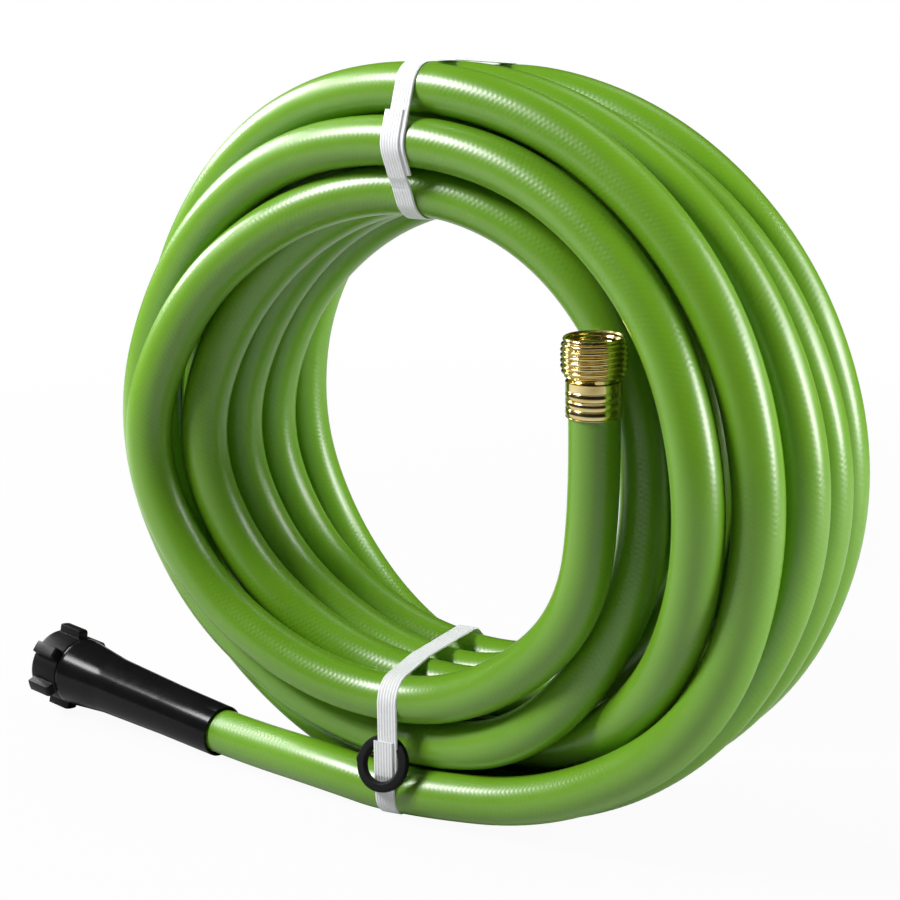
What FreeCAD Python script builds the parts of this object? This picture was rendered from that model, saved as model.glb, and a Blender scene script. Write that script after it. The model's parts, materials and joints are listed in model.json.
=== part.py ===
import FreeCAD, Part
import math
import os
import Sketcher

# A coiled garden hose that stands on its rim. A crimped male end points up inside
# the coil, and a swivel nut with a long tapered sleeve lies on the floor beside it.
# Two woven bands hold the coil and a spare sealing washer hangs on the lower one.
# Working axes: the coil's axis runs along Y through the origin, with the front at
# minus Y, X to the right and Z up. The finished pieces are moved at the end, so
# that the origin lies on the floor under the middle of the whole product.

os.makedirs("parts", exist_ok=True)
doc = FreeCAD.newDocument("garden_hose")

SIZES = [
    ("HoseOutside", 21.3, "outside width of the hose"),
    ("HoseBore", 15.9, "width of the waterway in the hose"),
    ("TurnGap", 1.1, "room left between touching turns"),
    ("TurnRadius", 116.21, "centre radius of the innermost layer"),
    ("TopSwell", 4.866, "how far the coil rises at the top"),
    ("RightSwell", 5.58, "how far the coil bulges at the right"),
    ("FootSink", 11.446, "how far its own weight flattens the foot"),
    ("FlatDepth", 0.5, "depth of the flat that the coil stands on"),
    ("EndRise", 51.6, "height of the male end's shoulder over the coil's last station"),
    ("EndAside", 0.5, "how far the male end leans to the outside over that height"),
    ("EndForward", 2.3, "how far it leans to the front over that height"),
    ("LeadReach", 116.4, "distance of the sleeve's mouth from the middle of the coil"),
    ("LeadDrift", 8.8, "how far that mouth lies behind the start of the coil"),
    ("LeadFirst", 45.0, "length of the lead's first run"),
    ("LeadLast", 50.0, "length of the lead's last run, inside the sleeve"),
    ("LeadPast", 8.0, "distance of the lead's corner from the sleeve's mouth"),
    ("LeadDrop", 0.2, "how far the lead hangs down in that mouth"),
    ("FitGap", 0.05, "radial room of a pushed-in piece"),
    ("SeatGap", 0.3, "room between pieces that rest on each other"),
    ("SlideGap", 0.08, "radial room of the turning nut"),
    ("StubRadius", 13.5, "outside radius of the male thread"),
    ("StubWall", 1.6, "wall of the male end"),
    ("StubLength", 17.6, "length of the male end outside its ferrule"),
    ("StubFoot", 3.0, "height of the taper under the thread"),
    ("StubNeck", 10.6, "radius where that taper starts"),
    ("StubLip", 1.4, "rounding of the male mouth"),
    ("TailWall", 0.9, "wall of the tubes pushed into the hose"),
    ("StubTail", 17.0, "length of the male tube inside the hose"),
    ("FerruleWall", 0.85, "wall of both ferrules"),
    ("FerruleReach", 15.0, "length of hose that the male ferrule grips"),
    ("CrimpPitch", 3.9, "distance between crimp grooves"),
    ("CrimpDepth", 0.4, "depth of a crimp groove"),
    ("CrimpWidth", 1.2, "width of a crimp groove"),
    ("InletFerruleReach", 22.0, "length of hose that the hidden ferrule grips"),
    ("InletTail", 28.0, "length of the inlet tube inside the hose"),
    ("NeckRadius", 9.2, "radius of the inlet neck that the nut turns on"),
    ("NeckLength", 6.5, "length of that neck"),
    ("FlangeRadius", 11.9, "radius of the flange that pulls the nut up"),
    ("FlangeThick", 2.2, "thickness of that flange"),
    ("NutBore", 13.65, "radius of the nut's threaded bore"),
    ("ChamberRoom", 0.3, "extra radius of the nut behind its thread"),
    ("NutRadius", 16.9, "outside radius of the nut between its wings"),
    ("NutLength", 17.5, "length of the nut"),
    ("NutBack", 3.0, "thickness of the nut's back wall"),
    ("NutEdge", 1.0, "bevel on the nut's outer edges"),
    ("WingReach", 21.0, "radius over the wings"),
    ("WingWidth", 6.0, "width of one wing"),
    ("WingLength", 15.5, "length of one wing"),
    ("WingRound", 1.1, "rounding of the wings"),
    ("WasherRadius", 12.8, "outside radius of a sealing washer"),
    ("WasherHole", 8.0, "hole radius of a sealing washer"),
    ("WasherThick", 3.2, "thickness of a sealing washer"),
    ("WasherRound", 0.9, "rounding of a sealing washer"),
    ("SleeveLength", 103.0, "length of the tapered sleeve"),
    ("SleeveBig", 17.0, "radius of the sleeve behind the nut"),
    ("SleeveShoulder", 14.3, "radius where the steep taper ends"),
    ("SleeveMiddle", 12.9, "radius past the middle of the sleeve"),
    ("SleeveMouth", 12.4, "radius of the sleeve at its mouth"),
    ("ShoulderAt", 26.0, "distance of the shoulder from the big end"),
    ("MiddleAt", 68.0, "distance of the middle from the big end"),
    ("SleeveRoom", 0.75, "radial room of the hose in the sleeve"),
    ("SleeveRound", 1.2, "rounding of the sleeve's big end"),
    ("BandWidth", 9.7, "width of a tie band"),
    ("BandThick", 0.6, "thickness of a tie band"),
    ("BandRoom", 0.6, "room between a band and the turns inside it"),
    ("TopBandAside", 1.5, "distance of the top band from the middle of the coil"),
    ("FootBandAside", 12.2, "distance of the bottom band from the middle of the coil"),
    ("WasherRise", 26.7, "height of the spare washer's middle over the floor"),
    ("WasherAside", 1.0, "how far it hangs beside the middle of its band"),
    ("PlyLength", 19.0, "length of the welded overlap of the top band"),
    ("PlyShift", 3.2, "how far the overlap sits off to the side"),
]

sheet = doc.addObject("Spreadsheet::Sheet", "Sizes")
for line, (name, value, words) in enumerate(SIZES):
    sheet.set("A" + str(line + 1), name)
    sheet.set("B" + str(line + 1), str(value))
    sheet.set("C" + str(line + 1), words)
    sheet.setAlias("B" + str(line + 1), name)
doc.recompute()


def size(name):
    return float(getattr(sheet, name))


HOSE_RADIUS = size("HoseOutside") / 2
BORE_RADIUS = size("HoseBore") / 2
PITCH = size("HoseOutside") + size("TurnGap")
GAP = size("SeatGap")

# The coil
#
# Each loop is given by the cell that it takes at the right, top, left and bottom.
# A cell is (row, layer): row 0 is the front, row 3 the back, layer 0 the inside
# and layer 2 the outside. The hose travels from the bottom to the right and over.
LOOPS = [
    [(0, 2), (0, 2), (1, 2.2), (1, 2)],
    [(1, 2.35), (1, 1.9), (2, 2.2), (2, 2)],
    [(2, 2.3), (2, 1.65), (3, 2.2), (3, 2)],
    [(3, 2), (2.9, 1.6), (3.6, 1.3), (2, 1)],
    [(3.1, 1.15), (3.6, 1), (3, 0), (3.6, 1)],
    [(3.3, 0.2), (3, 0), (2, 0), (3, 0)],
    [(2.7, -0.6), (2, 0), (1, 0), (2, 0)],
    [(1.75, -0.8), (1, 0), (0, 0), (1, 0)],
    [(1.3, 0.3), (1, 1), (1.2, 1.1), (1, 1)],
    [(-0.55, 1.15), (0, 1), (0, 1.6), (0, 1)],
    [(0.7, -0.67), (0, 0), (-0.7, 0.8), (0, 0)],
]
FIRST_CELL = (0, 2)
# A last quarter turn leads up to the male end, in front of the turn before it.
LAST_CELL = (-0.311, -1.122)
STATIONS_PER_TURN = 12
STEP = 2 * math.pi / STATIONS_PER_TURN
RIGHT_FAN = 1.097
LEFT_FAN = 1.137
MIDDLE_ROW = 1.5
NEST_SHIFT = 0.2
NEST_DEPTH = 0.92
FOOT_ANGLE = math.radians(260)


def nested(cell, side):
    """Turns of neighbouring layers sink into each other's valleys under the bands."""
    row, layer = cell
    middle = max(0.0, 1 - abs(layer - 1))
    return [row + side * NEST_SHIFT * (2 * middle - 1), layer * NEST_DEPTH]


def fanned(cell, spread):
    """Away from the bands the rows stand further apart."""
    row, layer = cell
    return [MIDDLE_ROW + (row - MIDDLE_ROW) * spread, layer]


def quarter_cells():
    cells = [nested(FIRST_CELL, 1)]
    for right, top, left, bottom in LOOPS:
        cells.append(fanned(right, RIGHT_FAN))
        cells.append(nested(top, -1))
        cells.append(fanned(left, LEFT_FAN))
        cells.append(nested(bottom, 1))
    cells.append(fanned(LAST_CELL, RIGHT_FAN))
    return cells


def between(a, b):
    """A point halfway between two stations, on the curve through four of them."""
    return [(p + q) / 2 for p, q in zip(a, b)]


def halfway(cells, i):
    """Where the curve through the stations passes between station i and the next."""
    last = len(cells) - 1
    near = between(cells[i], cells[i + 1])
    if i < 1 or i > last - 2:
        return near
    far = between(cells[i - 1], cells[i + 2])
    return [(9 * n - f) / 8 for n, f in zip(near, far)]


def push_apart(a, b, lean_row, lean_layer):
    """How far two passes of the hose must move apart, and in which direction."""
    row = b[0] - a[0]
    layer = b[1] - a[1]
    distance = math.hypot(row, layer)
    row, layer = (row / distance, layer / distance) if distance > 1e-9 else (0.0, 1.0)
    lean = row * lean_row + layer * lean_layer
    needed = 1 / math.sqrt(1 - min(lean * lean, 0.5))
    return needed - distance, row, layer


def settled_stations():
    """The stations of the whole coil, eased between cells and then pushed apart
    until no two passes at the same angle are closer than one pitch."""
    cells = quarter_cells()
    per_quarter = STATIONS_PER_TURN // 4
    stations = []
    for a, b in zip(cells, cells[1:]):
        for j in range(per_quarter):
            part = j / per_quarter
            part = 0.5 * part * part * (3 - 2 * part) + 0.5 * part
            stations.append([p + (q - p) * part for p, q in zip(a, b)])
    stations.append(list(cells[-1]))
    last = len(stations) - 1
    arc = STEP * (size("TurnRadius") + PITCH) / PITCH * 0.93
    for sweep in range(200):
        worst = 0.0
        for i in range(last + 1):
            for j in range(i + STATIONS_PER_TURN, last + 1, STATIONS_PER_TURN):
                a = stations[i]
                b = stations[j]
                if abs(b[0] - a[0]) + abs(b[1] - a[1]) > 2.2:
                    continue
                slopes = []
                for k in (i, j):
                    after = min(k + 1, last)
                    before = max(k - 1, 0)
                    span = (after - before) * arc
                    slopes.append([(q - p) / span for p, q in zip(stations[before], stations[after])])
                lean_row = (slopes[0][0] + slopes[1][0]) / 2
                lean_layer = (slopes[0][1] + slopes[1][1]) / 2
                short, row, layer = push_apart(a, b, lean_row, lean_layer)
                if short > 0:
                    a[0] -= row * short / 2
                    a[1] -= layer * short / 2
                    b[0] += row * short / 2
                    b[1] += layer * short / 2
                    worst = max(worst, short)
                if j == last:
                    continue
                c = stations[i + 1]
                d = stations[j + 1]
                lean_row = (c[0] - a[0] + d[0] - b[0]) / 2 / arc
                lean_layer = (c[1] - a[1] + d[1] - b[1]) / 2 / arc
                short, row, layer = push_apart(halfway(stations, i), halfway(stations, j), lean_row, lean_layer)
                if short > 0:
                    for cell, sign in ((a, -1), (c, -1), (b, 1), (d, 1)):
                        cell[0] += sign * row * short / 2
                        cell[1] += sign * layer * short / 2
                    worst = max(worst, short)
        if worst < 1e-3:
            break
    return stations


def coil_point(row, layer, angle):
    """The place of a cell on the coil, which is a little out of round."""
    radius = size("TurnRadius") + PITCH * layer
    radius += size("RightSwell") * max(math.cos(angle), 0) ** 2
    radius += size("TopSwell") * max(math.sin(angle), 0) ** 2
    radius -= size("FootSink") * max(math.cos(angle - FOOT_ANGLE), 0) ** 2
    return FreeCAD.Vector(radius * math.cos(angle), PITCH * (row - MIDDLE_ROW), radius * math.sin(angle))


def coil_stations():
    """Point and direction of the hose at every station."""
    stations = settled_stations()
    last = len(stations) - 1
    places = []
    small = 1e-4
    for i, (row, layer) in enumerate(stations):
        before = max(i - 1, 0)
        after = min(i + 1, last)
        turn = (after - before) * STEP
        row_rate = (stations[after][0] - stations[before][0]) / turn
        layer_rate = (stations[after][1] - stations[before][1]) / turn
        angle = -math.pi / 2 + i * STEP
        ahead = coil_point(row + row_rate * small, layer + layer_rate * small, angle + small)
        behind = coil_point(row - row_rate * small, layer - layer_rate * small, angle - small)
        places.append((coil_point(row, layer, angle), (ahead - behind).normalize()))
    return places


def arc_edge(start, direction, end):
    """The arc that leaves start in the given direction and ends at end."""
    chord = end - start
    normal = direction.cross(chord)
    if normal.Length < 1e-9 * chord.Length:
        return Part.LineSegment(start, end).toShape()
    half = direction.getAngle(chord)
    side = normal.cross(direction).normalize()
    centre = start + side * (chord.Length / (2 * math.sin(half)))
    out = ((start - centre) + (end - centre)).normalize()
    if half > math.pi / 2:
        out = out * -1
    return Part.Arc(start, centre + out * (start - centre).Length, end).toShape()


def biarc_edges(start, start_way, end, end_way):
    """Two arcs that join smoothly and lead from one station to the next."""
    chord = end - start
    ways = start_way + end_way
    a = 2 * (1 - start_way.dot(end_way))
    b = 2 * chord.dot(ways)
    c = -chord.dot(chord)
    reach = -c / b if abs(a) < 1e-12 else (-b + math.sqrt(b * b - 4 * a * c)) / (2 * a)
    near = start + start_way * reach
    far = end - end_way * reach
    middle = (near + far) * 0.5
    middle_way = (far - near).normalize()
    return [arc_edge(start, start_way, middle), arc_edge(middle, middle_way, end)]


def swept(wire, start, way, radius):
    """A round bar along a wire."""
    ring = Part.Wire([Part.Circle(start, way, radius).toShape()])
    return wire.makePipeShell([ring], True, False)


def segment_distance(point, a, b):
    along = b - a
    part = max(0.0, min(1.0, (point - a).dot(along) / along.dot(along)))
    return (point - (a + along * part)).Length


def least_gap(edges):
    """Smallest room between two passes of the hose, measured on points."""
    pieces = [edge.discretize(Number=9) for edge in edges]
    per_turn = 2 * STATIONS_PER_TURN
    least = 1e9
    for i, points in enumerate(pieces):
        for j in range(i + per_turn - 1, len(pieces)):
            if (j - i + 1) % per_turn > 2:
                continue
            others = pieces[j]
            if (points[4] - others[4]).Length > 2 * HOSE_RADIUS + 2 * PITCH:
                continue
            for point in points:
                for a, b in zip(others, others[1:]):
                    least = min(least, segment_distance(point, a, b))
    return least - 2 * HOSE_RADIUS


stations = coil_stations()
coil_end = stations[-1][0]
# The shoulder of the male end lies on the hose's own line, and the last arcs aim at it.
shoulder_place = coil_end + FreeCAD.Vector(size("EndAside"), -size("EndForward"), size("EndRise"))
stations[-1] = (coil_end, (shoulder_place - coil_end).normalize())
coil_edges = []
for (p, p_way), (q, q_way) in zip(stations, stations[1:]):
    coil_edges += biarc_edges(p, p_way, q, q_way)
coil_wire = Part.Wire(coil_edges)
coil_points = [point for edge in coil_edges for point in edge.discretize(Number=9)]
FLOOR = min(point.z for point in coil_points) - HOSE_RADIUS + size("FlatDepth")
TURNS = (len(stations) - 1) / STATIONS_PER_TURN
print("turns", TURNS, "hose in the coil mm", round(coil_wire.Length))
print("least gap of the coil to itself mm", round(least_gap(coil_edges), 3))
print("tightest bend of the coil mm", round(min(edge.Curve.Radius for edge in coil_edges), 1))


def add_shape(label, shape):
    """A piece that follows the route of the hose, which no sketch or primitive does."""
    piece = doc.addObject("Part::Feature", label)
    piece.Label = label
    piece.Shape = shape
    return piece


coil_bar = swept(coil_wire, stations[0][0], stations[0][1], HOSE_RADIUS)
print("coil volume against section times length",
      round(coil_bar.Volume / (math.pi * HOSE_RADIUS ** 2 * coil_wire.Length), 6))
SPAN = 4 * (size("TurnRadius") + 3 * PITCH)
floor_corner = FreeCAD.Vector(-SPAN / 2, -SPAN / 2, FLOOR - HOSE_RADIUS)
under_floor = Part.makeBox(SPAN, SPAN, HOSE_RADIUS, floor_corner)
hose_coil = add_shape("hose_coil", coil_bar.cut(under_floor))

# The fittings
#
# Both are drawn upright: height 0 is the cut end of the hose, and up is outward.
# Depths below that end are measured upward from the foot of each drawing.


def bind(sketch, index, text):
    sketch.setExpression("Constraints[" + str(index) + "]", text)


def drawn_profile(body, label, corners):
    """A closed outline in the XZ plane. Each corner is (radius, height) in formulas
    of the sheet's values, and every corner stays right of the axis and above it."""
    sketch = body.newObject("Sketcher::SketchObject", label)
    plane = [item for item in body.Origin.OriginFeatures if item.Role == "XZ_Plane"][0]
    sketch.AttachmentSupport = [(plane, "")]
    sketch.MapMode = "FlatFace"
    places = []
    for radius, height in corners:
        places.append(FreeCAD.Vector(worked_out(radius), worked_out(height), 0))
    count = len(places)
    for i in range(count):
        sketch.addGeometry(Part.LineSegment(places[i], places[(i + 1) % count]), False)
    for i in range(count):
        sketch.addConstraint(Sketcher.Constraint("Coincident", i, 2, (i + 1) % count, 1))
    for i, (radius, height) in enumerate(corners):
        index = sketch.addConstraint(Sketcher.Constraint("DistanceX", -1, 1, i, 1, places[i].x))
        bind(sketch, index, radius)
        if height == "0":
            sketch.addConstraint(Sketcher.Constraint("PointOnObject", i, 1, -1))
        else:
            index = sketch.addConstraint(Sketcher.Constraint("DistanceY", -1, 1, i, 1, places[i].y))
            bind(sketch, index, height)
    return sketch


def worked_out(text):
    """The value of a formula, asked from the sheet itself."""
    sheet.set("E1", "=" + text.replace("Sizes.", ""))
    sheet.recompute()
    return float(sheet.get("E1"))


def turned(label, corners):
    """A body of revolution about Z."""
    body = doc.addObject("PartDesign::Body", label)
    body.Label = label
    outline = drawn_profile(body, label + "_outline", corners)
    turn = body.newObject("PartDesign::Revolution", label + "_turn")
    turn.Profile = outline
    turn.ReferenceAxis = (outline, ["V_Axis"])
    turn.Angle = 360
    outline.Visibility = False
    doc.recompute()
    return body, turn


def ring_edges(feature, wanted):
    """Names of the full circles at the given (radius, height) places."""
    names = []
    for i, edge in enumerate(feature.Shape.Edges):
        curve = edge.Curve
        if not isinstance(curve, Part.Circle):
            continue
        for radius, height in wanted:
            if abs(curve.Radius - radius) < 1e-4 and abs(curve.Center.z - height) < 1e-4:
                names.append("Edge" + str(i + 1))
    return names


def rounded(body, base, names, value_name):
    fillet = body.newObject("PartDesign::Fillet", body.Label + "_round")
    fillet.Base = (base, names)
    fillet.setExpression("Radius", "Sizes." + value_name)
    doc.recompute()
    return fillet


S = "Sizes."
TAIL = S + "HoseBore / 2 - " + S + "FitGap"
TAIL_IN = TAIL + " - " + S + "TailWall"
GRIP = S + "HoseOutside / 2 + " + S + "FitGap"
GRIP_OUT = GRIP + " + " + S + "FerruleWall"

# Male end. Its tube reaches StubTail into the hose, a thin ferrule lip lies between
# the end of the hose and the shoulder, and the threaded cup stands on top.
LIP_TOP = S + "SeatGap + " + S + "FerruleWall"
SHOULDER = S + "StubTail + " + LIP_TOP + " + " + S + "SeatGap"
CUP_IN = S + "StubRadius - " + S + "StubWall"
male_stub, stub_turn = turned("male_stub", [
    (TAIL_IN, "0"),
    (TAIL, "0"),
    (TAIL, SHOULDER),
    (S + "StubNeck", SHOULDER),
    (S + "StubRadius", SHOULDER + " + " + S + "StubFoot"),
    (S + "StubRadius", SHOULDER + " + " + S + "StubLength"),
    (CUP_IN, SHOULDER + " + " + S + "StubLength"),
    (CUP_IN, SHOULDER + " + " + S + "StubFoot"),
    (S + "StubNeck - " + S + "StubWall", SHOULDER + " + " + S + "StubWall"),
    (TAIL_IN, SHOULDER + " + " + S + "StubWall"),
])
stub_top = worked_out(SHOULDER + " + " + S + "StubLength")
rounded(male_stub, stub_turn, ring_edges(stub_turn, [(size("StubRadius"), stub_top)]), "StubLip")
STUB_SHOULDER = worked_out(SHOULDER) - size("StubTail")


def ferrule(label, reach):
    """A thin cup over the end of the hose, with three rounded crimps between grooves."""
    body, turn = turned(label, [
        (GRIP, "0"),
        (GRIP_OUT, "0"),
        (GRIP_OUT, S + reach + " + " + LIP_TOP),
        (TAIL + " + " + S + "SeatGap", S + reach + " + " + LIP_TOP),
        (TAIL + " + " + S + "SeatGap", S + reach + " + " + S + "SeatGap"),
        (GRIP, S + reach + " + " + S + "SeatGap"),
    ])
    half = " + " + S + "CrimpWidth / 2"
    groove = drawn_profile(body, label + "_groove_outline", [
        (GRIP_OUT + " - " + S + "CrimpDepth", S + "CrimpPitch"),
        (GRIP_OUT + " + " + S + "FerruleWall", S + "CrimpPitch - " + S + "CrimpWidth"),
        (GRIP_OUT + " + " + S + "FerruleWall", S + "CrimpPitch + " + S + "CrimpWidth"),
    ])
    cut = body.newObject("PartDesign::Groove", label + "_groove")
    cut.Profile = groove
    cut.ReferenceAxis = (groove, ["V_Axis"])
    cut.Angle = 360
    body.Tip = cut
    doc.recompute()
    repeat = body.newObject("PartDesign::LinearPattern", label + "_grooves")
    repeat.Originals = [cut]
    repeat.Direction = (groove, ["V_Axis"])
    repeat.Occurrences = 3
    repeat.setExpression("Length", S + "CrimpPitch * 2")
    body.Tip = repeat
    doc.recompute()
    return body


male_ferrule = ferrule("male_ferrule", "FerruleReach")
inlet_ferrule = ferrule("inlet_ferrule", "InletFerruleReach")

# Inlet end. The neck stands on the ferrule's lip, the nut turns on the neck and the
# flange on top pulls the nut against its washer.
NECK_FOOT = S + "InletTail + " + LIP_TOP + " + " + S + "SeatGap"
FLANGE_FOOT = NECK_FOOT + " + " + S + "NeckLength"
inlet_tailpiece, tail_turn = turned("inlet_tailpiece", [
    (TAIL_IN, "0"),
    (TAIL, "0"),
    (TAIL, NECK_FOOT),
    (S + "NeckRadius", NECK_FOOT),
    (S + "NeckRadius", FLANGE_FOOT),
    (S + "FlangeRadius", FLANGE_FOOT),
    (S + "FlangeRadius", FLANGE_FOOT + " + " + S + "FlangeThick"),
    (TAIL_IN, FLANGE_FOOT + " + " + S + "FlangeThick"),
])
FLANGE_HEIGHT = worked_out(FLANGE_FOOT) - size("InletTail")
NUT_FOOT = FLANGE_HEIGHT - GAP - size("NutBack")

# Behind the thread the nut has a slightly wider chamber for the flange and washer.
CHAMBER_TOP = S + "NutBack + " + S + "FlangeThick + " + S + "WasherThick + " + S + "SeatGap * 3"
coupling_nut, nut_turn = turned("coupling_nut", [
    (S + "NeckRadius + " + S + "SlideGap", "0"),
    (S + "NutRadius - " + S + "NutEdge", "0"),
    (S + "NutRadius", S + "NutEdge"),
    (S + "NutRadius", S + "NutLength - " + S + "NutEdge"),
    (S + "NutRadius - " + S + "NutEdge", S + "NutLength"),
    (S + "NutBore", S + "NutLength"),
    (S + "NutBore", CHAMBER_TOP),
    (S + "NutBore + " + S + "ChamberRoom", CHAMBER_TOP),
    (S + "NutBore + " + S + "ChamberRoom", S + "NutBack"),
    (S + "NeckRadius + " + S + "SlideGap", S + "NutBack"),
])
wing_sketch = coupling_nut.newObject("Sketcher::SketchObject", "wing_outline")
wing_plane = [item for item in coupling_nut.Origin.OriginFeatures if item.Role == "XY_Plane"][0]
wing_sketch.AttachmentSupport = [(wing_plane, "")]
wing_sketch.MapMode = "FlatFace"
wing_low = (size("NutBore") + size("NutRadius")) / 2
wing_top = size("WingReach")
wing_half = size("WingWidth") / 2
wing_corners = [
    FreeCAD.Vector(wing_low, -wing_half, 0),
    FreeCAD.Vector(wing_top, -wing_half, 0),
    FreeCAD.Vector(wing_top, wing_half, 0),
    FreeCAD.Vector(wing_low, wing_half, 0),
]
for i in range(4):
    wing_sketch.addGeometry(Part.LineSegment(wing_corners[i], wing_corners[(i + 1) % 4]), False)
for i in range(4):
    wing_sketch.addConstraint(Sketcher.Constraint("Coincident", i, 2, (i + 1) % 4, 1))
for i, kind in ((0, "Horizontal"), (2, "Horizontal"), (3, "Vertical")):
    wing_sketch.addConstraint(Sketcher.Constraint(kind, i))
wing_sketch.addConstraint(Sketcher.Constraint("Symmetric", 0, 2, 1, 2, -1))
bind(wing_sketch, wing_sketch.addConstraint(Sketcher.Constraint("DistanceX", -1, 1, 0, 1, wing_low)),
     "(" + S + "NutBore + " + S + "NutRadius) / 2")
bind(wing_sketch, wing_sketch.addConstraint(Sketcher.Constraint("DistanceX", -1, 1, 0, 2, wing_top)),
     S + "WingReach")
bind(wing_sketch, wing_sketch.addConstraint(Sketcher.Constraint("DistanceY", 1, 1, 1, 2, 2 * wing_half)),
     S + "WingWidth")
wing_pad = coupling_nut.newObject("PartDesign::Pad", "wing")
wing_pad.Profile = wing_sketch
wing_pad.setExpression("Length", S + "WingLength")
coupling_nut.Tip = wing_pad
doc.recompute()
wing_ring = coupling_nut.newObject("PartDesign::PolarPattern", "wings")
wing_ring.Originals = [wing_pad]
wing_ring.Axis = (wing_sketch, ["N_Axis"])
wing_ring.Angle = 360
wing_ring.Occurrences = 6
coupling_nut.Tip = wing_ring
doc.recompute()
wing_edges = []
for i, edge in enumerate(wing_ring.Shape.Edges):
    middle = edge.CenterOfMass
    reach = math.hypot(middle.x, middle.y)
    straight = isinstance(edge.Curve, Part.Line)
    if straight and reach > size("WingReach") - 0.01:
        wing_edges.append("Edge" + str(i + 1))
rounded(coupling_nut, wing_ring, wing_edges, "WingRound")


def washer(label):
    body, turn = turned(label, [
        (S + "WasherHole", "0"),
        (S + "WasherRadius", "0"),
        (S + "WasherRadius", S + "WasherThick"),
        (S + "WasherHole", S + "WasherThick"),
    ])
    thick = size("WasherThick")
    rims = []
    for radius in (size("WasherHole"), size("WasherRadius")):
        for height in (0, thick):
            rims.append((radius, height))
    rounded(body, turn, ring_edges(turn, rims), "WasherRound")
    return body


coupling_washer = washer("coupling_washer")
spare_washer = washer("spare_washer")

# The sleeve covers the ferrule. Its mouth is the foot of this drawing and its big
# end stands just behind the nut.
FROM_TOP = S + "SleeveLength - "
SLEEVE_HOLE = S + "HoseOutside / 2 + " + S + "SleeveRoom"
SLEEVE_STEP = worked_out(LIP_TOP)
SLEEVE_TOP = NUT_FOOT - GAP
sleeve_wall = SLEEVE_TOP - SLEEVE_STEP - GAP
sheet.set("A" + str(len(SIZES) + 1), "SleeveBack")
sheet.set("B" + str(len(SIZES) + 1), str(round(sleeve_wall, 4)))
sheet.setAlias("B" + str(len(SIZES) + 1), "SleeveBack")
sheet.recompute()
GRIP_HOLE = GRIP_OUT + " + " + S + "FitGap"
GRIP_TOP = FROM_TOP + S + "SleeveBack"
GRIP_FOOT = GRIP_TOP + " - " + S + "InletFerruleReach - (" + LIP_TOP + ") - " + S + "SeatGap"
inlet_sleeve, sleeve_turn = turned("inlet_sleeve", [
    (SLEEVE_HOLE, "0"),
    (S + "SleeveMouth", "0"),
    (S + "SleeveMiddle", FROM_TOP + S + "MiddleAt"),
    (S + "SleeveShoulder", FROM_TOP + S + "ShoulderAt"),
    (S + "SleeveBig", FROM_TOP + S + "SleeveRound * 2"),
    (S + "SleeveBig", S + "SleeveLength"),
    (S + "NeckRadius + " + S + "SeatGap", S + "SleeveLength"),
    (S + "NeckRadius + " + S + "SeatGap", GRIP_TOP),
    (GRIP_HOLE, GRIP_TOP),
    (GRIP_HOLE, GRIP_FOOT),
    (SLEEVE_HOLE, GRIP_FOOT),
])
sleeve_rims = ring_edges(sleeve_turn, [(size("SleeveBig"), size("SleeveLength"))])
rounded(inlet_sleeve, sleeve_turn, sleeve_rims, "SleeveRound")

# Where the fittings lie
#
# The inlet lead runs back from the start of the coil along the floor. The outlet
# lead rises inside the coil, in front of its last loop.


def upright_on(foot, way, turn_from, turn_angle):
    """A placement that stands a drawing on foot, pointing along way, turned so that
    its X axis makes turn_angle with the part of turn_from that is square to way."""
    z = FreeCAD.Vector(way).normalize()
    x = (turn_from - z * turn_from.dot(z)).normalize()
    y = z.cross(x)
    angle = math.radians(turn_angle)
    x_turned = x * math.cos(angle) + y * math.sin(angle)
    y_turned = z.cross(x_turned)
    rotation = FreeCAD.Rotation(x_turned, y_turned, z, "ZXY")
    return FreeCAD.Placement(foot, rotation)


DOWN = FreeCAD.Vector(0, 0, -1)
SIDE = FreeCAD.Vector(1, 0, 0)
WING_ANGLE = 10

coil_start, start_way = stations[0]
outlet_way = stations[-1][1]
outlet_end = shoulder_place - outlet_way * STUB_SHOULDER
SLEEVE_FOOT = SLEEVE_TOP - size("SleeveLength")
wing_turn = math.radians(WING_ANGLE)
wing_drop = size("WingReach") * math.cos(wing_turn) + size("WingWidth") / 2 * math.sin(wing_turn)
nut_height = FLOOR + wing_drop + GAP
mouth_height = FLOOR + size("SleeveMouth") + GAP
mouth_place = FreeCAD.Vector(-size("LeadReach"), coil_start.y + size("LeadDrift"), mouth_height)
inlet_rise = (nut_height - mouth_height) / (NUT_FOOT - SLEEVE_FOOT)
inlet_way = FreeCAD.Vector(-0.995, 0.09, 0).normalize() * math.sqrt(1 - inlet_rise ** 2)
inlet_way = inlet_way + FreeCAD.Vector(0, 0, inlet_rise)
inlet_end = mouth_place - inlet_way * SLEEVE_FOOT



def lead_path(points):
    """Straight runs joined by tangent arcs."""
    edges = []
    radii = []
    here = points[0]
    for a, b, c in zip(points, points[1:], points[2:]):
        way_in = (b - a).normalize()
        way_out = (c - b).normalize()
        reach = 0.45 * min((b - a).Length, (c - b).Length)
        for end, run in ((points[0], b - a), (points[-1], c - b)):
            if end in (a, c):
                reach = min(reach, run.Length - size("HoseOutside"))
        radii.append(reach / math.tan(way_in.getAngle(way_out) / 2))
        edges.append(Part.LineSegment(here, b - way_in * reach).toShape())
        edges.append(arc_edge(b - way_in * reach, way_in, b + way_out * reach))
        here = b + way_out * reach
    edges.append(Part.LineSegment(here, points[-1]).toShape())
    return Part.Wire(edges), min(radii, default=math.inf)


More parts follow.
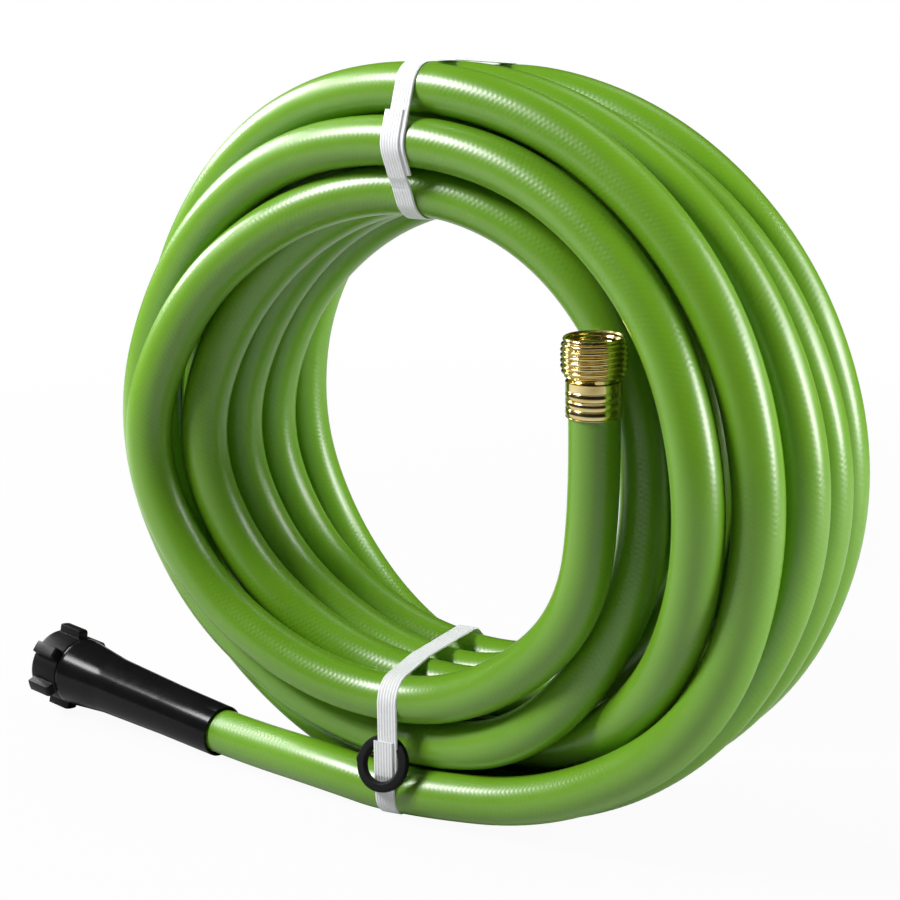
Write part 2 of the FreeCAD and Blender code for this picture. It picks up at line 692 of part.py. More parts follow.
def lead(label, points):
    wire, radius = lead_path(points)
    way = (points[1] - points[0]).normalize()
    outer = swept(wire, points[0], way, HOSE_RADIUS)
    bore = swept(wire, points[0], way, BORE_RADIUS)
    print(label, "length mm", round(wire.Length, 1), "tightest bend mm", round(radius, 1),
          "volume against section times length",
          round(outer.Volume / (math.pi * HOSE_RADIUS ** 2 * wire.Length), 6))
    return add_shape(label, outer.cut(bore)), wire


inlet_first = coil_start - start_way * size("LeadFirst")
inlet_mouth = mouth_place - inlet_way * size("LeadPast") - FreeCAD.Vector(0, 0, size("LeadDrop"))
inlet_middle = inlet_end - inlet_way * size("LeadLast")
inlet_lead, inlet_wire = lead("inlet_lead", [
    coil_start,
    inlet_first,
    inlet_mouth,
    inlet_middle,
    inlet_end,
])
outlet_lead, outlet_wire = lead("outlet_lead", [coil_end, outlet_end])

male_stub.Placement = upright_on(outlet_end - outlet_way * size("StubTail"), outlet_way, SIDE, 0)
male_ferrule.Placement = upright_on(outlet_end - outlet_way * size("FerruleReach"), outlet_way, SIDE, 0)
inlet_ferrule.Placement = upright_on(inlet_end - inlet_way * size("InletFerruleReach"), inlet_way, DOWN, 0)
inlet_tailpiece.Placement = upright_on(inlet_end - inlet_way * size("InletTail"), inlet_way, DOWN, 0)
inlet_sleeve.Placement = upright_on(inlet_end + inlet_way * SLEEVE_FOOT, inlet_way, DOWN, 0)
coupling_nut.Placement = upright_on(inlet_end + inlet_way * NUT_FOOT, inlet_way, DOWN, WING_ANGLE)
washer_foot = FLANGE_HEIGHT + size("FlangeThick") + GAP
coupling_washer.Placement = upright_on(inlet_end + inlet_way * washer_foot, inlet_way, DOWN, 0)

# The tie bands
#
# Each band is pulled tight round the turns at one angle of the coil, so its shape
# is the outline of the bundle there: straight where it spans two turns and round
# where it bends over one.


def hull(points):
    """Corners of the smallest convex outline round the points, counter-clockwise."""
    ordered = sorted(set(points))
    halves = []
    for run in (ordered, ordered[::-1]):
        half = []
        for p in run:
            while len(half) > 1:
                ax, ay = half[-2]
                bx, by = half[-1]
                if (bx - ax) * (p[1] - ay) - (by - ay) * (p[0] - ax) > 1e-9:
                    break
                half.pop()
            half.append(p)
        halves.append(half[:-1])
    return halves[0] + halves[1]


def outline_wire(corners, radius, to_world):
    """The outline at a fixed distance round the corners, as lines and arcs."""
    edges = []
    count = len(corners)
    normals = []
    for (ax, ay), (bx, by) in zip(corners, corners[1:] + corners[:1]):
        length = math.hypot(bx - ax, by - ay)
        normals.append(((by - ay) / length, -(bx - ax) / length))
    for i in range(count):
        x, y = corners[i]
        before = normals[i - 1]
        after = normals[i]
        middle = (before[0] + after[0], before[1] + after[1])
        length = math.hypot(*middle)
        middle = (middle[0] / length, middle[1] / length)
        rim = [to_world(x + n[0] * radius, y + n[1] * radius) for n in (before, middle, after)]
        edges.append(Part.Arc(rim[0], rim[1], rim[2]).toShape())
        x, y = corners[(i + 1) % count]
        edges.append(Part.LineSegment(rim[2], to_world(x + after[0] * radius, y + after[1] * radius)).toShape())
    return Part.Wire(edges)


def thinned(corners, least):
    """Corners closer together than least become one."""
    kept = []
    for corner in corners:
        if all(math.hypot(corner[0] - k[0], corner[1] - k[1]) > least for k in kept):
            kept.append(corner)
    return kept


class BandPlane:
    """An upright plane that a band lies in. It crosses the coil's axis at x and is
    turned by yaw degrees. Places in it are (distance to the back, height)."""

    def __init__(self, x, yaw):
        angle = math.radians(yaw)
        self.middle = FreeCAD.Vector(x, 0, 0)
        self.along = FreeCAD.Vector(math.cos(angle), math.sin(angle), 0)
        self.back = FreeCAD.Vector(-math.sin(angle), math.cos(angle), 0)

    def flat(self, point):
        away = point - self.middle
        return away.dot(self.along), away.dot(self.back), point.z

    def world(self, back, height, sideways=0.0):
        up = FreeCAD.Vector(0, 0, height)
        return self.middle + self.along * sideways + self.back * back + up


ROUTES = [coil_points, inlet_wire.discretize(Number=120), outlet_wire.discretize(Number=40)]
BAND_INSIDE = HOSE_RADIUS + size("BandRoom")


def bundle_corners(plane, side):
    """Centres of the turns that a band bends over; side is 1 above the axis, else -1."""
    reach = size("BandWidth") / 2 + size("BandRoom")
    points = []
    for route in ROUTES:
        for point in route:
            sideways, back, height = plane.flat(point)
            if abs(sideways) < reach and height * side > 0:
                points.append((round(back, 3), round(height, 3)))
    return thinned(hull(points), size("BandThick"))


def band_shape(plane, corners):
    half = size("BandWidth") / 2

    def to_world(back, height):
        return plane.world(back, height, -half)

    inner = Part.Face(outline_wire(corners, BAND_INSIDE, to_world))
    outer = Part.Face(outline_wire(corners, BAND_INSIDE + size("BandThick"), to_world))
    return outer.cut(inner).extrude(plane.along * size("BandWidth"))


def front_run(corners):
    """The long straight stretch of a band at the front: its two ends as places."""
    best = None
    for a, b in zip(corners, corners[1:] + corners[:1]):
        steep = abs(b[1] - a[1]) > 2 * abs(b[0] - a[0])
        longest = best is None or abs(b[1] - a[1]) > abs(best[1][1] - best[0][1])
        if steep and a[0] < 0 and longest:
            best = (a, b)
    low, high = sorted(best, key=lambda place: place[1])
    return low, high


def overlap_ply(plane, corners):
    """The free end of the woven strip, welded over the front of its own loop."""
    low, high = front_run(corners)
    run = FreeCAD.Vector(0, high[0] - low[0], high[1] - low[1])
    length = run.Length
    way = plane.back * (run.y / length) + FreeCAD.Vector(0, 0, run.z / length)
    out = way.cross(plane.along).normalize()
    if out.dot(plane.back) > 0:
        out = out * -1
    foot = plane.world(low[0], low[1], -size("BandWidth") / 2 - size("PlyShift"))
    foot = foot + out * (BAND_INSIDE + size("BandThick")) + way * (length - size("PlyLength")) / 2
    a = foot + plane.along * size("BandWidth")
    face = Part.Face(Part.makePolygon([foot, a, a + way * size("PlyLength"), foot + way * size("PlyLength"), foot]))
    return face.extrude(out * size("BandThick"))


FOOT_BAND_YAW = 8.5
top_plane = BandPlane(size("TopBandAside"), 0)
foot_plane = BandPlane(-size("FootBandAside"), FOOT_BAND_YAW)
top_corners = bundle_corners(top_plane, 1)
# Under the coil the hose is pressed onto the band, so the band lies flush with the
# floor there and the turns carry a shallow bed for it.
band_low = FLOOR + size("BandThick") + BAND_INSIDE
raised = [(back, max(height, band_low)) for back, height in bundle_corners(foot_plane, -1)]
foot_corners = thinned(hull(raised), size("BandThick"))
bed_half = size("BandWidth") / 2 + GAP
bed_corner = foot_plane.world(-SPAN / 2, FLOOR - HOSE_RADIUS, -bed_half)
bed_top = size("BandThick") + GAP + HOSE_RADIUS
bed = Part.makeBox(2 * bed_half, SPAN, bed_top)
bed.Placement = FreeCAD.Placement(bed_corner, FreeCAD.Rotation(FreeCAD.Vector(0, 0, 1), FOOT_BAND_YAW))
hose_coil.Shape = hose_coil.Shape.cut(bed)
inlet_lead.Shape = inlet_lead.Shape.cut(bed)
print("top band corners", top_corners, "front", front_run(top_corners))
print("bottom band corners", foot_corners, "front", front_run(foot_corners))
top_loop = band_shape(top_plane, top_corners)
top_band = add_shape("top_band", top_loop.fuse(overlap_ply(top_plane, top_corners)))
bottom_band = add_shape("bottom_band", band_shape(foot_plane, foot_corners))

# The spare washer hangs on the lower band. The band runs in front of its upper rim,
# through its hole and behind its lower rim, which tips the washer forward at its foot.
foot_low, foot_high = front_run(foot_corners)
WASHER_YAW = 4
washer_height = FLOOR + size("WasherRise")
part_up = (washer_height - foot_low[1]) / (foot_high[1] - foot_low[1])
band_front = foot_low[0] + (foot_high[0] - foot_low[0]) * part_up - BAND_INSIDE - size("BandThick") / 2
washer_centre = foot_plane.world(band_front, washer_height, -size("WasherAside"))
twist = math.tan(math.radians(FOOT_BAND_YAW - WASHER_YAW)) * size("BandWidth") / 2
lean = (size("WasherThick") + size("BandThick")) / 2 + GAP + twist
lean_angle = math.asin(lean / size("WasherHole"))
yaw_angle = math.radians(WASHER_YAW)
washer_way = FreeCAD.Vector(
    math.sin(yaw_angle) * math.cos(lean_angle),
    -math.cos(yaw_angle) * math.cos(lean_angle),
    math.sin(lean_angle),
)
spare_washer.Placement = upright_on(washer_centre - washer_way * size("WasherThick") / 2, washer_way, SIDE, 0)
print("spare washer tips by degrees", round(math.degrees(lean_angle), 1), "centre", washer_centre)

doc.recompute()

PIECES = [
    hose_coil,
    inlet_lead,
    outlet_lead,
    male_stub,
    male_ferrule,
    inlet_ferrule,
    inlet_tailpiece,
    inlet_sleeve,
    coupling_nut,
    coupling_washer,
    spare_washer,
    top_band,
    bottom_band,
]

low = FreeCAD.Vector(1e9, 1e9, 1e9)
high = low * -1
for piece in PIECES:
    box = piece.Shape.optimalBoundingBox(False, False)
    low = FreeCAD.Vector(min(low.x, box.XMin), min(low.y, box.YMin), min(low.z, box.ZMin))
    high = FreeCAD.Vector(max(high.x, box.XMax), max(high.y, box.YMax), max(high.z, box.ZMax))
to_floor = FreeCAD.Vector(-(low.x + high.x) / 2, -(low.y + high.y) / 2, -low.z)
print("size mm", [round(v, 2) for v in (high - low)], "moved by", [round(v, 3) for v in to_floor])
for piece in PIECES:
    piece.Placement = FreeCAD.Placement(to_floor, FreeCAD.Rotation()).multiply(piece.Placement)
doc.recompute()



def told(name, place, way):
    """Prints a place and a direction in metres, in the frame of the exported pieces."""
    print(name, "at", [round(v / 1000, 6) for v in place + to_floor], "way", [round(v, 6) for v in way])


thread_middle = STUB_SHOULDER + (size("StubFoot") + size("StubLength") - size("StubLip")) / 2
told("male thread", outlet_end + outlet_way * thread_middle, outlet_way)
print("male thread length mm", round(size("StubLength") - size("StubFoot") - size("StubLip"), 3))
nut_mouth = NUT_FOOT + size("NutLength")
nut_free = nut_mouth - (NUT_FOOT + worked_out(CHAMBER_TOP))
told("nut thread", inlet_end + inlet_way * (nut_mouth - nut_free / 2), inlet_way)
print("nut thread length mm", round(nut_free, 3))
told("nut turns about", inlet_end + inlet_way * NUT_FOOT, inlet_way)
told("spare washer turns about", washer_centre, washer_way)
flats = []
for face in hose_coil.Shape.Faces:
    if isinstance(face.Surface, Part.Plane) and abs(face.CenterOfMass.z) < 0.01:
        flats.append(([round(v / 1000, 6) for v in face.CenterOfMass], round(face.Area, 1)))
print("flats on the floor", flats)

for item in doc.Objects:
    if "Invalid" in item.State or "Error" in item.State:
        raise RuntimeError(item.Label + " did not build: " + str(item.State))
for piece in PIECES:
    if piece.Shape.isNull() or not piece.Shape.isValid():
        raise RuntimeError(piece.Label + " has no sound shape")
    piece.Shape.exportStep("parts/" + piece.Label + ".step")
    print(piece.Label, "solids", len(piece.Shape.Solids), "volume", round(piece.Shape.Volume, 1))
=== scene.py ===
import json
import math

import bmesh
import bpy
from mathutils import Matrix, Vector


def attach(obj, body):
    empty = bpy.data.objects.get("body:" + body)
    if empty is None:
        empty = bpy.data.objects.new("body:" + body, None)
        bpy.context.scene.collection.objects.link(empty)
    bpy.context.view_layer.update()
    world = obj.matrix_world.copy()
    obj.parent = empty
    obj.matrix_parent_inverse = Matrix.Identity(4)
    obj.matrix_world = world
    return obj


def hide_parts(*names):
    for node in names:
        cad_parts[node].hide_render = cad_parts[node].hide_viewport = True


# A coiled green garden hose that stands on its rim: the hose itself, its brass male
# end, the black nut and sleeve of its other end, two woven bands and a spare washer.
# Lengths are in metres, in the frame of the solids.

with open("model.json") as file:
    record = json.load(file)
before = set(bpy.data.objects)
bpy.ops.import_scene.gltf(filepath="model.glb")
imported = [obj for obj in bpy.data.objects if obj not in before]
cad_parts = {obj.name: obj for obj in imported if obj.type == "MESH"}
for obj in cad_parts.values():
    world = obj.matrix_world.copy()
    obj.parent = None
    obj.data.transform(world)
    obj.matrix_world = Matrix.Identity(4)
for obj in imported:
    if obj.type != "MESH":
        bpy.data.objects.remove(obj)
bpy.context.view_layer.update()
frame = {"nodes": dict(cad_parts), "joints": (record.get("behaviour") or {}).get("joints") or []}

# Camera
LENS = 85.76
SENSOR_WIDTH = 36
CAMERA_PLACE = Vector((0.5505, -0.7750, 0.3679))
CAMERA_LOOK = Vector((-0.5493, 0.8071, -0.2164))

camera_data = bpy.data.cameras.new("camera")
camera_data.lens = LENS
camera_data.sensor_width = SENSOR_WIDTH
camera_data.clip_start = 0.05
camera = bpy.data.objects.new("camera", camera_data)
bpy.context.scene.collection.objects.link(camera)
camera.location = CAMERA_PLACE
camera.rotation_euler = CAMERA_LOOK.to_track_quat("-Z", "Y").to_euler()
bpy.context.scene.camera = camera
bpy.context.scene.view_settings.view_transform = "Standard"

# The coil. A cell is a place in its cross-section: its row, counted from the front to
# the back, and its layer, counted from the inside out, both in pitches.
HOSE_RADIUS = 0.02130 / 2
PITCH = 0.02130 + 0.0011
TURN_RADIUS = 0.11621
RIGHT_FAN = 1.097
LEFT_FAN = 1.137
TOP_SWELL = 0.004866
RIGHT_SWELL = 0.00558
FOOT_SINK = 0.011446
FOOT_ANGLE = math.radians(260)
MIDDLE_ROW = 1.5
NEST_SHIFT = 0.2
NEST_DEPTH = 0.92
STATIONS_PER_TURN = 12
STEP = 2 * math.pi / STATIONS_PER_TURN
COIL_MIDDLE = Vector((0.026579, 0.001187, 0.158401))

# Each turn's cells at the right, at the top, at the left and at the foot
LOOPS = [
    [(0, 2), (0, 2), (1, 2.2), (1, 2)],
    [(1, 2.35), (1, 1.9), (2, 2.2), (2, 2)],
    [(2, 2.3), (2, 1.65), (3, 2.2), (3, 2)],
    [(3, 2), (2.9, 1.6), (3.6, 1.3), (2, 1)],
    [(3.1, 1.15), (3.6, 1), (3, 0), (3.6, 1)],
    [(3.3, 0.2), (3, 0), (2, 0), (3, 0)],
    [(2.7, -0.6), (2, 0), (1, 0), (2, 0)],
    [(1.75, -0.8), (1, 0), (0, 0), (1, 0)],
    [(1.3, 0.3), (1, 1), (1.2, 1.1), (1, 1)],
    [(-0.55, 1.15), (0, 1), (0, 1.6), (0, 1)],
    [(0.7, -0.67), (0, 0), (-0.7, 0.8), (0, 0)],
]
FIRST_CELL = (0, 2)
LAST_CELL = (-0.311, -1.122)


def nested(cell, side):
    """Turns of neighbouring layers sink into each other's valleys under the bands."""
    row, layer = cell
    middle = max(0.0, 1 - abs(layer - 1))
    return [row + side * NEST_SHIFT * (2 * middle - 1), layer * NEST_DEPTH]


def fanned(cell, spread):
    """Away from the bands the rows stand further apart."""
    row, layer = cell
    return [MIDDLE_ROW + (row - MIDDLE_ROW) * spread, layer]


def quarter_cells():
    """The cells of the whole coil, one for each quarter of a turn."""
    cells = [nested(FIRST_CELL, 1)]
    for right, top, left, foot in LOOPS:
        cells.append(fanned(right, RIGHT_FAN))
        cells.append(nested(top, -1))
        cells.append(fanned(left, LEFT_FAN))
        cells.append(nested(foot, 1))
    cells.append(fanned(LAST_CELL, RIGHT_FAN))
    return cells


def all_stations():
    """The cells of the whole coil at every station, eased between the quarters."""
    cells = quarter_cells()
    per_quarter = STATIONS_PER_TURN // 4
    stations = []
    for a, b in zip(cells, cells[1:]):
        for j in range(per_quarter):
            part = j / per_quarter
            part = 0.5 * part * part * (3 - 2 * part) + 0.5 * part
            stations.append([p + (q - p) * part for p, q in zip(a, b)])
    stations.append(list(cells[-1]))
    return stations


def halfway(cells, i):
    """Where the curve through the stations passes between station i and the next."""
    near = [(p + q) / 2 for p, q in zip(cells[i], cells[i + 1])]
    if i < 1 or i > len(cells) - 3:
        return near
    far = [(p + q) / 2 for p, q in zip(cells[i - 1], cells[i + 2])]
    return [(9 * n - f) / 8 for n, f in zip(near, far)]


def slope(cells, i, arc):
    """How fast the hose changes its row and its layer at station i."""
    after, before = min(i + 1, len(cells) - 1), max(i - 1, 0)
    span = (after - before) * arc
    return [(q - p) / span for p, q in zip(cells[before], cells[after])]


def shortfall(a, b, lean):
    """How far two passes of the hose must move apart, and in which direction. Passes
    that lean need more room, because a slanted cut through a hose is oval."""
    row, layer = b[0] - a[0], b[1] - a[1]
    distance = math.hypot(row, layer)
    row, layer = (row / distance, layer / distance) if distance > 1e-9 else (0.0, 1.0)
    across = row * lean[0] + layer * lean[1]
    return 1 / math.sqrt(1 - min(across * across, 0.5)) - distance, row, layer


def move_apart(inner, outer, short, row, layer):
    """Moves the cells of two passes away from each other, by half of short each."""
    for cells, sign in ((inner, -1), (outer, 1)):
        for cell in cells:
            cell[0] += sign * row * short / 2
            cell[1] += sign * layer * short / 2


SWEEPS = 200
LEAST_MOVE = 1e-3
FAR_APART = 2.2
ARC_SHARE = 0.93


def settled_stations():
    """Cells of the whole coil at every station, pushed apart until no two passes at
    the same angle are closer than one pitch."""
    stations = all_stations()
    last = len(stations) - 1
    arc = STEP * (TURN_RADIUS + PITCH) / PITCH * ARC_SHARE
    for sweep in range(SWEEPS):
        worst = 0.0
        for i in range(last + 1):
            for j in range(i + STATIONS_PER_TURN, last + 1, STATIONS_PER_TURN):
                a, b = stations[i], stations[j]
                if abs(b[0] - a[0]) + abs(b[1] - a[1]) > FAR_APART:
                    continue
                slopes = slope(stations, i, arc), slope(stations, j, arc)
                lean = [(p + q) / 2 for p, q in zip(*slopes)]
                short, row, layer = shortfall(a, b, lean)
                if short > 0:
                    move_apart((a,), (b,), short, row, layer)
                    worst = max(worst, short)
                if j == last:
                    continue
                c, d = stations[i + 1], stations[j + 1]
                lean = [(c[k] - a[k] + d[k] - b[k]) / 2 / arc for k in (0, 1)]
                short, row, layer = shortfall(halfway(stations, i), halfway(stations, j), lean)
                if short > 0:
                    move_apart((a, c), (b, d), short, row, layer)
                    worst = max(worst, short)
        if worst < LEAST_MOVE:
            break
    return stations


def coil_point(row, layer, angle):
    """The place of a cell on the coil, which is a little out of round."""
    radius = TURN_RADIUS + PITCH * layer
    radius += RIGHT_SWELL * max(math.cos(angle), 0) ** 2
    radius += TOP_SWELL * max(math.sin(angle), 0) ** 2
    radius -= FOOT_SINK * max(math.cos(angle - FOOT_ANGLE), 0) ** 2
    across = PITCH * (row - MIDDLE_ROW)
    return COIL_MIDDLE + Vector((radius * math.cos(angle), across, radius * math.sin(angle)))


def start_direction(cells):
    """The way in which the hose leaves the first station of the coil."""
    (row, layer), (next_row, next_layer) = cells[0], cells[1]
    small = 1e-4
    row_move = (next_row - row) / STEP * small
    layer_move = (next_layer - layer) / STEP * small
    ahead = coil_point(row + row_move, layer + layer_move, -math.pi / 2 + small)
    behind = coil_point(row - row_move, layer - layer_move, -math.pi / 2 - small)
    return (ahead - behind).normalized()


coil_cells = settled_stations()
coil_turns = []
for i, (row, layer) in enumerate(coil_cells):
    coil_turns.append(coil_point(row, layer, -math.pi / 2 + i * STEP))
start_way = start_direction(coil_cells)

# The leads: the inlet one runs back from the coil's start along the floor into the
# sleeve, the outlet one rises straight into the brass end.
NUT_FOOT_ABOVE_HOSE = 0.00465
SLEEVE_LENGTH = 0.103
SLEEVE_GAP = 0.0003
END_RISE = Vector((0.0005, -0.0023, 0.0516))
SHOULDER_ABOVE_HOSE = 0.00145
STRAIGHT_IN_SLEEVE = 0.050
PAST_MOUTH = 0.008
MOUTH_DROP = Vector((0, 0, -0.0002))
BEFORE_COIL = 0.045


def joint_place(name):
    """Where a joint of the solids is, and the way of its axis."""
    joint = [j for j in frame["joints"] if j["name"] == name][0]
    return Vector(joint["pos_m"]), Vector(joint["axis"])


nut_foot, nut_axis = joint_place("nut_swivel")
inlet_way = nut_axis.normalized()
inlet_end = nut_foot - inlet_way * NUT_FOOT_ABOVE_HOSE
sleeve_mouth = nut_foot - inlet_way * (SLEEVE_GAP + SLEEVE_LENGTH)
outlet_way = END_RISE.normalized()
shoulder = coil_turns[-1] + END_RISE
outlet_end = shoulder - outlet_way * SHOULDER_ABOVE_HOSE

inlet_route = [
    inlet_end,
    inlet_end - inlet_way * STRAIGHT_IN_SLEEVE,
    sleeve_mouth - inlet_way * PAST_MOUTH + MOUTH_DROP,
    coil_turns[0] - start_way * BEFORE_COIL,
]


def passing_through(places):
    """Spline points whose curve passes through the given places of a winding."""
    points = [place.copy() for place in places]
    for sweep in range(8):
        for i in range(1, len(points) - 1):
            points[i] = (places[i] * 8 - points[i - 1] - points[i + 1]) / 6
    return points


winding = passing_through([inlet_route[-1]] + coil_turns + [outlet_end])
hose_route = inlet_route[:-1] + winding

# The hose
SIDES = 28
PER_SPAN = 15
BORE_RADIUS = 0.00795
BORE_DEPTH = 0.060


def smooth_line(points):
    """The places along the NURBS spline of a route."""
    line = bpy.data.curves.new("route", "CURVE")
    line.dimensions = "3D"
    spline = line.splines.new("NURBS")
    spline.points.add(len(points) - 1)
    for knot, place in zip(spline.points, points):
        knot.co = (place.x, place.y, place.z, 1)
    spline.order_u = 3
    spline.use_endpoint_u = True
    spline.resolution_u = PER_SPAN
    line.resolution_u = PER_SPAN
    carrier = bpy.data.objects.new("route", line)
    bpy.context.scene.collection.objects.link(carrier)
    bpy.context.view_layer.update()
    mesh = bpy.data.meshes.new_from_object(carrier)
    places = [vertex.co.copy() for vertex in mesh.vertices]
    bpy.data.objects.remove(carrier)
    bpy.data.meshes.remove(mesh)
    return places


def ways_out(path):
    """For each place on the path, the directions from it to the corners of its ring."""
    fans = []
    side = Vector((0, 0, 1))
    for i in range(len(path)):
        way = (path[min(i + 1, len(path) - 1)] - path[max(i - 1, 0)]).normalized()
        side = (side - way * side.dot(way)).normalized()
        other = way.cross(side)
        angles = [2 * math.pi * k / SIDES for k in range(SIDES)]
        fans.append([side * math.cos(a) + other * math.sin(a) for a in angles])
    return fans


def finished_shell(shell, name):
    """Makes a piece of a closed shell, with all its faces turned outwards."""
    bmesh.ops.recalc_face_normals(shell, faces=shell.faces)
    mesh = bpy.data.meshes.new(name)
    shell.to_mesh(mesh)
    shell.free()
    piece = bpy.data.objects.new(name, mesh)
    bpy.context.scene.collection.objects.link(piece)
    return piece


def hose_tube(path):
    """A round tube along the path, hollow at its two ends, with its own map: metres
    along, turns around."""
    shell = bmesh.new()
    hose_map = shell.loops.layers.uv.new("hose_map")
    along = [0.0]
    for a, b in zip(path, path[1:]):
        along.append(along[-1] + (b - a).length)
    fans = ways_out(path)
    near = [i for i, length in enumerate(along) if length < BORE_DEPTH]
    far = [i for i, length in enumerate(along) if length > along[-1] - BORE_DEPTH]
    order = [(i, BORE_RADIUS) for i in reversed(near)]
    order += [(i, HOSE_RADIUS) for i in range(len(path))]
    order += [(i, BORE_RADIUS) for i in reversed(far)]
    rings = []
    for i, radius in order:
        spots = [path[i] + out * radius for out in fans[i]]
        # its weight flattens the hose a little where it stands on the floor
        rings.append([shell.verts.new((spot.x, spot.y, max(spot.z, 0.0))) for spot in spots])
    for j in range(len(rings) - 1):
        ring, following = rings[j], rings[j + 1]
        lengths = along[order[j][0]], along[order[j + 1][0]]
        for k in range(SIDES):
            n = (k + 1) % SIDES
            face = shell.faces.new((ring[k], ring[n], following[n], following[k]))
            face.smooth = order[j][1] == order[j + 1][1]
            corners = ((0, k), (0, k + 1), (1, k + 1), (1, k))
            for loop, (end, around) in zip(face.loops, corners):
                loop[hose_map].uv = (lengths[end], around / SIDES)
    shell.faces.new(rings[0][::-1])
    shell.faces.new(rings[-1])
    return finished_shell(shell, "hose"), along[-1]


hose_path = smooth_line(hose_route)
hose, hose_length = hose_tube(hose_path)


# Modelling helpers


def clear_selection():
    if bpy.context.mode != "OBJECT":
        bpy.ops.object.mode_set(mode="OBJECT")
    bpy.ops.object.select_all(action="DESELECT")


def take_up(piece):
    """Selects a piece alone and makes it the active one."""
    clear_selection()
    piece.select_set(True)
    bpy.context.view_layer.objects.active = piece


def turned_piece(name, profile, steps):
    """A closed outline of (radius, height) places, drawn by extruding and spun."""
    clear_selection()
    radius, height = profile[0]
    bpy.ops.mesh.primitive_plane_add(size=0.001, location=(radius, 0, height))
    piece = bpy.context.active_object
    piece.name = name
    piece.data.name = name
    bpy.ops.object.transform_apply(location=True, rotation=False, scale=False)
    bpy.ops.object.mode_set(mode="EDIT")
    bpy.ops.mesh.select_mode(type="VERT")
    bpy.ops.mesh.select_all(action="SELECT")
    bpy.ops.mesh.merge(type="CENTER")
    here = Vector((radius, 0, height))
    for radius, height in profile[1:]:
        there = Vector((radius, 0, height))
        move = there - here
        bpy.ops.mesh.extrude_region_move(TRANSFORM_OT_translate={"value": tuple(move)})
        here = there
    bpy.ops.mesh.select_all(action="SELECT")
    bpy.ops.mesh.spin(steps=steps, angle=2 * math.pi, center=(0, 0, 0), axis=(0, 0, 1))
    bpy.ops.mesh.select_all(action="SELECT")
    bpy.ops.mesh.remove_doubles(threshold=1e-6)
    bpy.ops.mesh.normals_make_consistent(inside=False)
    bpy.ops.object.mode_set(mode="OBJECT")
    return piece


def rounded_profile(corners, rounds, parts):
    """A closed outline with an arc at each corner that has a rounding."""
    outline = []
    count = len(corners)
    for i, (corner, rounding) in enumerate(zip(corners, rounds)):
        here = Vector(corner)
        if rounding <= 0:
            outline.append(tuple(here))
            continue
        before = (Vector(corners[i - 1]) - here).normalized()
        after = (Vector(corners[(i + 1) % count]) - here).normalized()
        half = before.angle(after) / 2
        reach = rounding / math.tan(half)
        centre = here + (before + after).normalized() * (rounding / math.sin(half))
        start = here + before * reach - centre
        end = here + after * reach - centre
        turn = start.angle(end)
        for k in range(parts + 1):
            part = k / parts
            spot = start * math.sin((1 - part) * turn) + end * math.sin(part * turn)
            outline.append(tuple(centre + spot / math.sin(turn)))
    return outline + [outline[0]]


def stand_on(piece, foot, way, start):
    """Stands an upright piece on foot along way, with its X axis towards start."""
    z = Vector(way).normalized()
    x = (start - z * start.dot(z)).normalized()
    y = z.cross(x)
    turn = Matrix((x, y, z)).transposed().to_4x4()
    take_up(piece)
    piece.matrix_world = Matrix.Translation(foot) @ turn
    bpy.ops.object.transform_apply(location=True, rotation=True, scale=True)
    return piece


def shade_smooth(piece, degrees):
    take_up(piece)
    bpy.ops.object.shade_smooth_by_angle(angle=math.radians(degrees))


def bevelled(piece, width, segments, degrees):
    """Rounds the piece's own sharp edges."""
    take_up(piece)
    bevel = piece.modifiers.new("rounding", "BEVEL")
    bevel.width = width
    bevel.segments = segments
    bevel.limit_method = "ANGLE"
    bevel.angle_limit = math.radians(degrees)
    bpy.ops.object.modifier_apply(modifier=bevel.name)


def scale_across(vertex, factor):
    """Moves a vertex away from the upright axis, or towards it."""
    vertex.co.x *= factor
    vertex.co.y *= factor


# Materials


def new_material(name):
    material = bpy.data.materials.new(name)
    material.use_nodes = True
    shader = material.node_tree.nodes["Principled BSDF"]
    return material, material.node_tree, shader


def math_node(tree, kind, first, second=None):
    node = tree.nodes.new("ShaderNodeMath")
    node.operation = kind
    for socket, value in zip(node.inputs, (first, second)):
        if value is None:
            continue
        if isinstance(value, (int, float)):
            socket.default_value = value
        else:
            tree.links.new(value, socket)
    return node.outputs[0]


def noise_node(tree, place, scale, detail):
    node = tree.nodes.new("ShaderNodeTexNoise")
    node.inputs["Scale"].default_value = scale
    node.inputs["Detail"].default_value = detail
    tree.links.new(place, node.inputs["Vector"])
    return node.outputs["Fac"]


def range_node(tree, value, low, high, start=0.0, end=1.0):
    """Brings a value that runs from start to end to the range from low to high."""
    node = tree.nodes.new("ShaderNodeMapRange")
    node.inputs["From Min"].default_value = start
    node.inputs["From Max"].default_value = end
    node.inputs["To Min"].default_value = low
    node.inputs["To Max"].default_value = high
    tree.links.new(value, node.inputs["Value"])
    return node.outputs["Result"]


def bump_node(tree, shader, height, strength, distance):
    node = tree.nodes.new("ShaderNodeBump")
    node.inputs["Strength"].default_value = strength
    node.inputs["Distance"].default_value = distance
    tree.links.new(height, node.inputs["Height"])
    tree.links.new(node.outputs["Normal"], shader.inputs["Normal"])


def object_place(tree):
    return tree.nodes.new("ShaderNodeTexCoord").outputs["Object"]


def map_place(tree, name):
    """The two coordinates of a piece's own map."""
    uv = tree.nodes.new("ShaderNodeUVMap")
    uv.uv_map = name
    split = tree.nodes.new("ShaderNodeSeparateXYZ")
    tree.links.new(uv.outputs["UV"], split.inputs["Vector"])
    return split.outputs["X"], split.outputs["Y"]


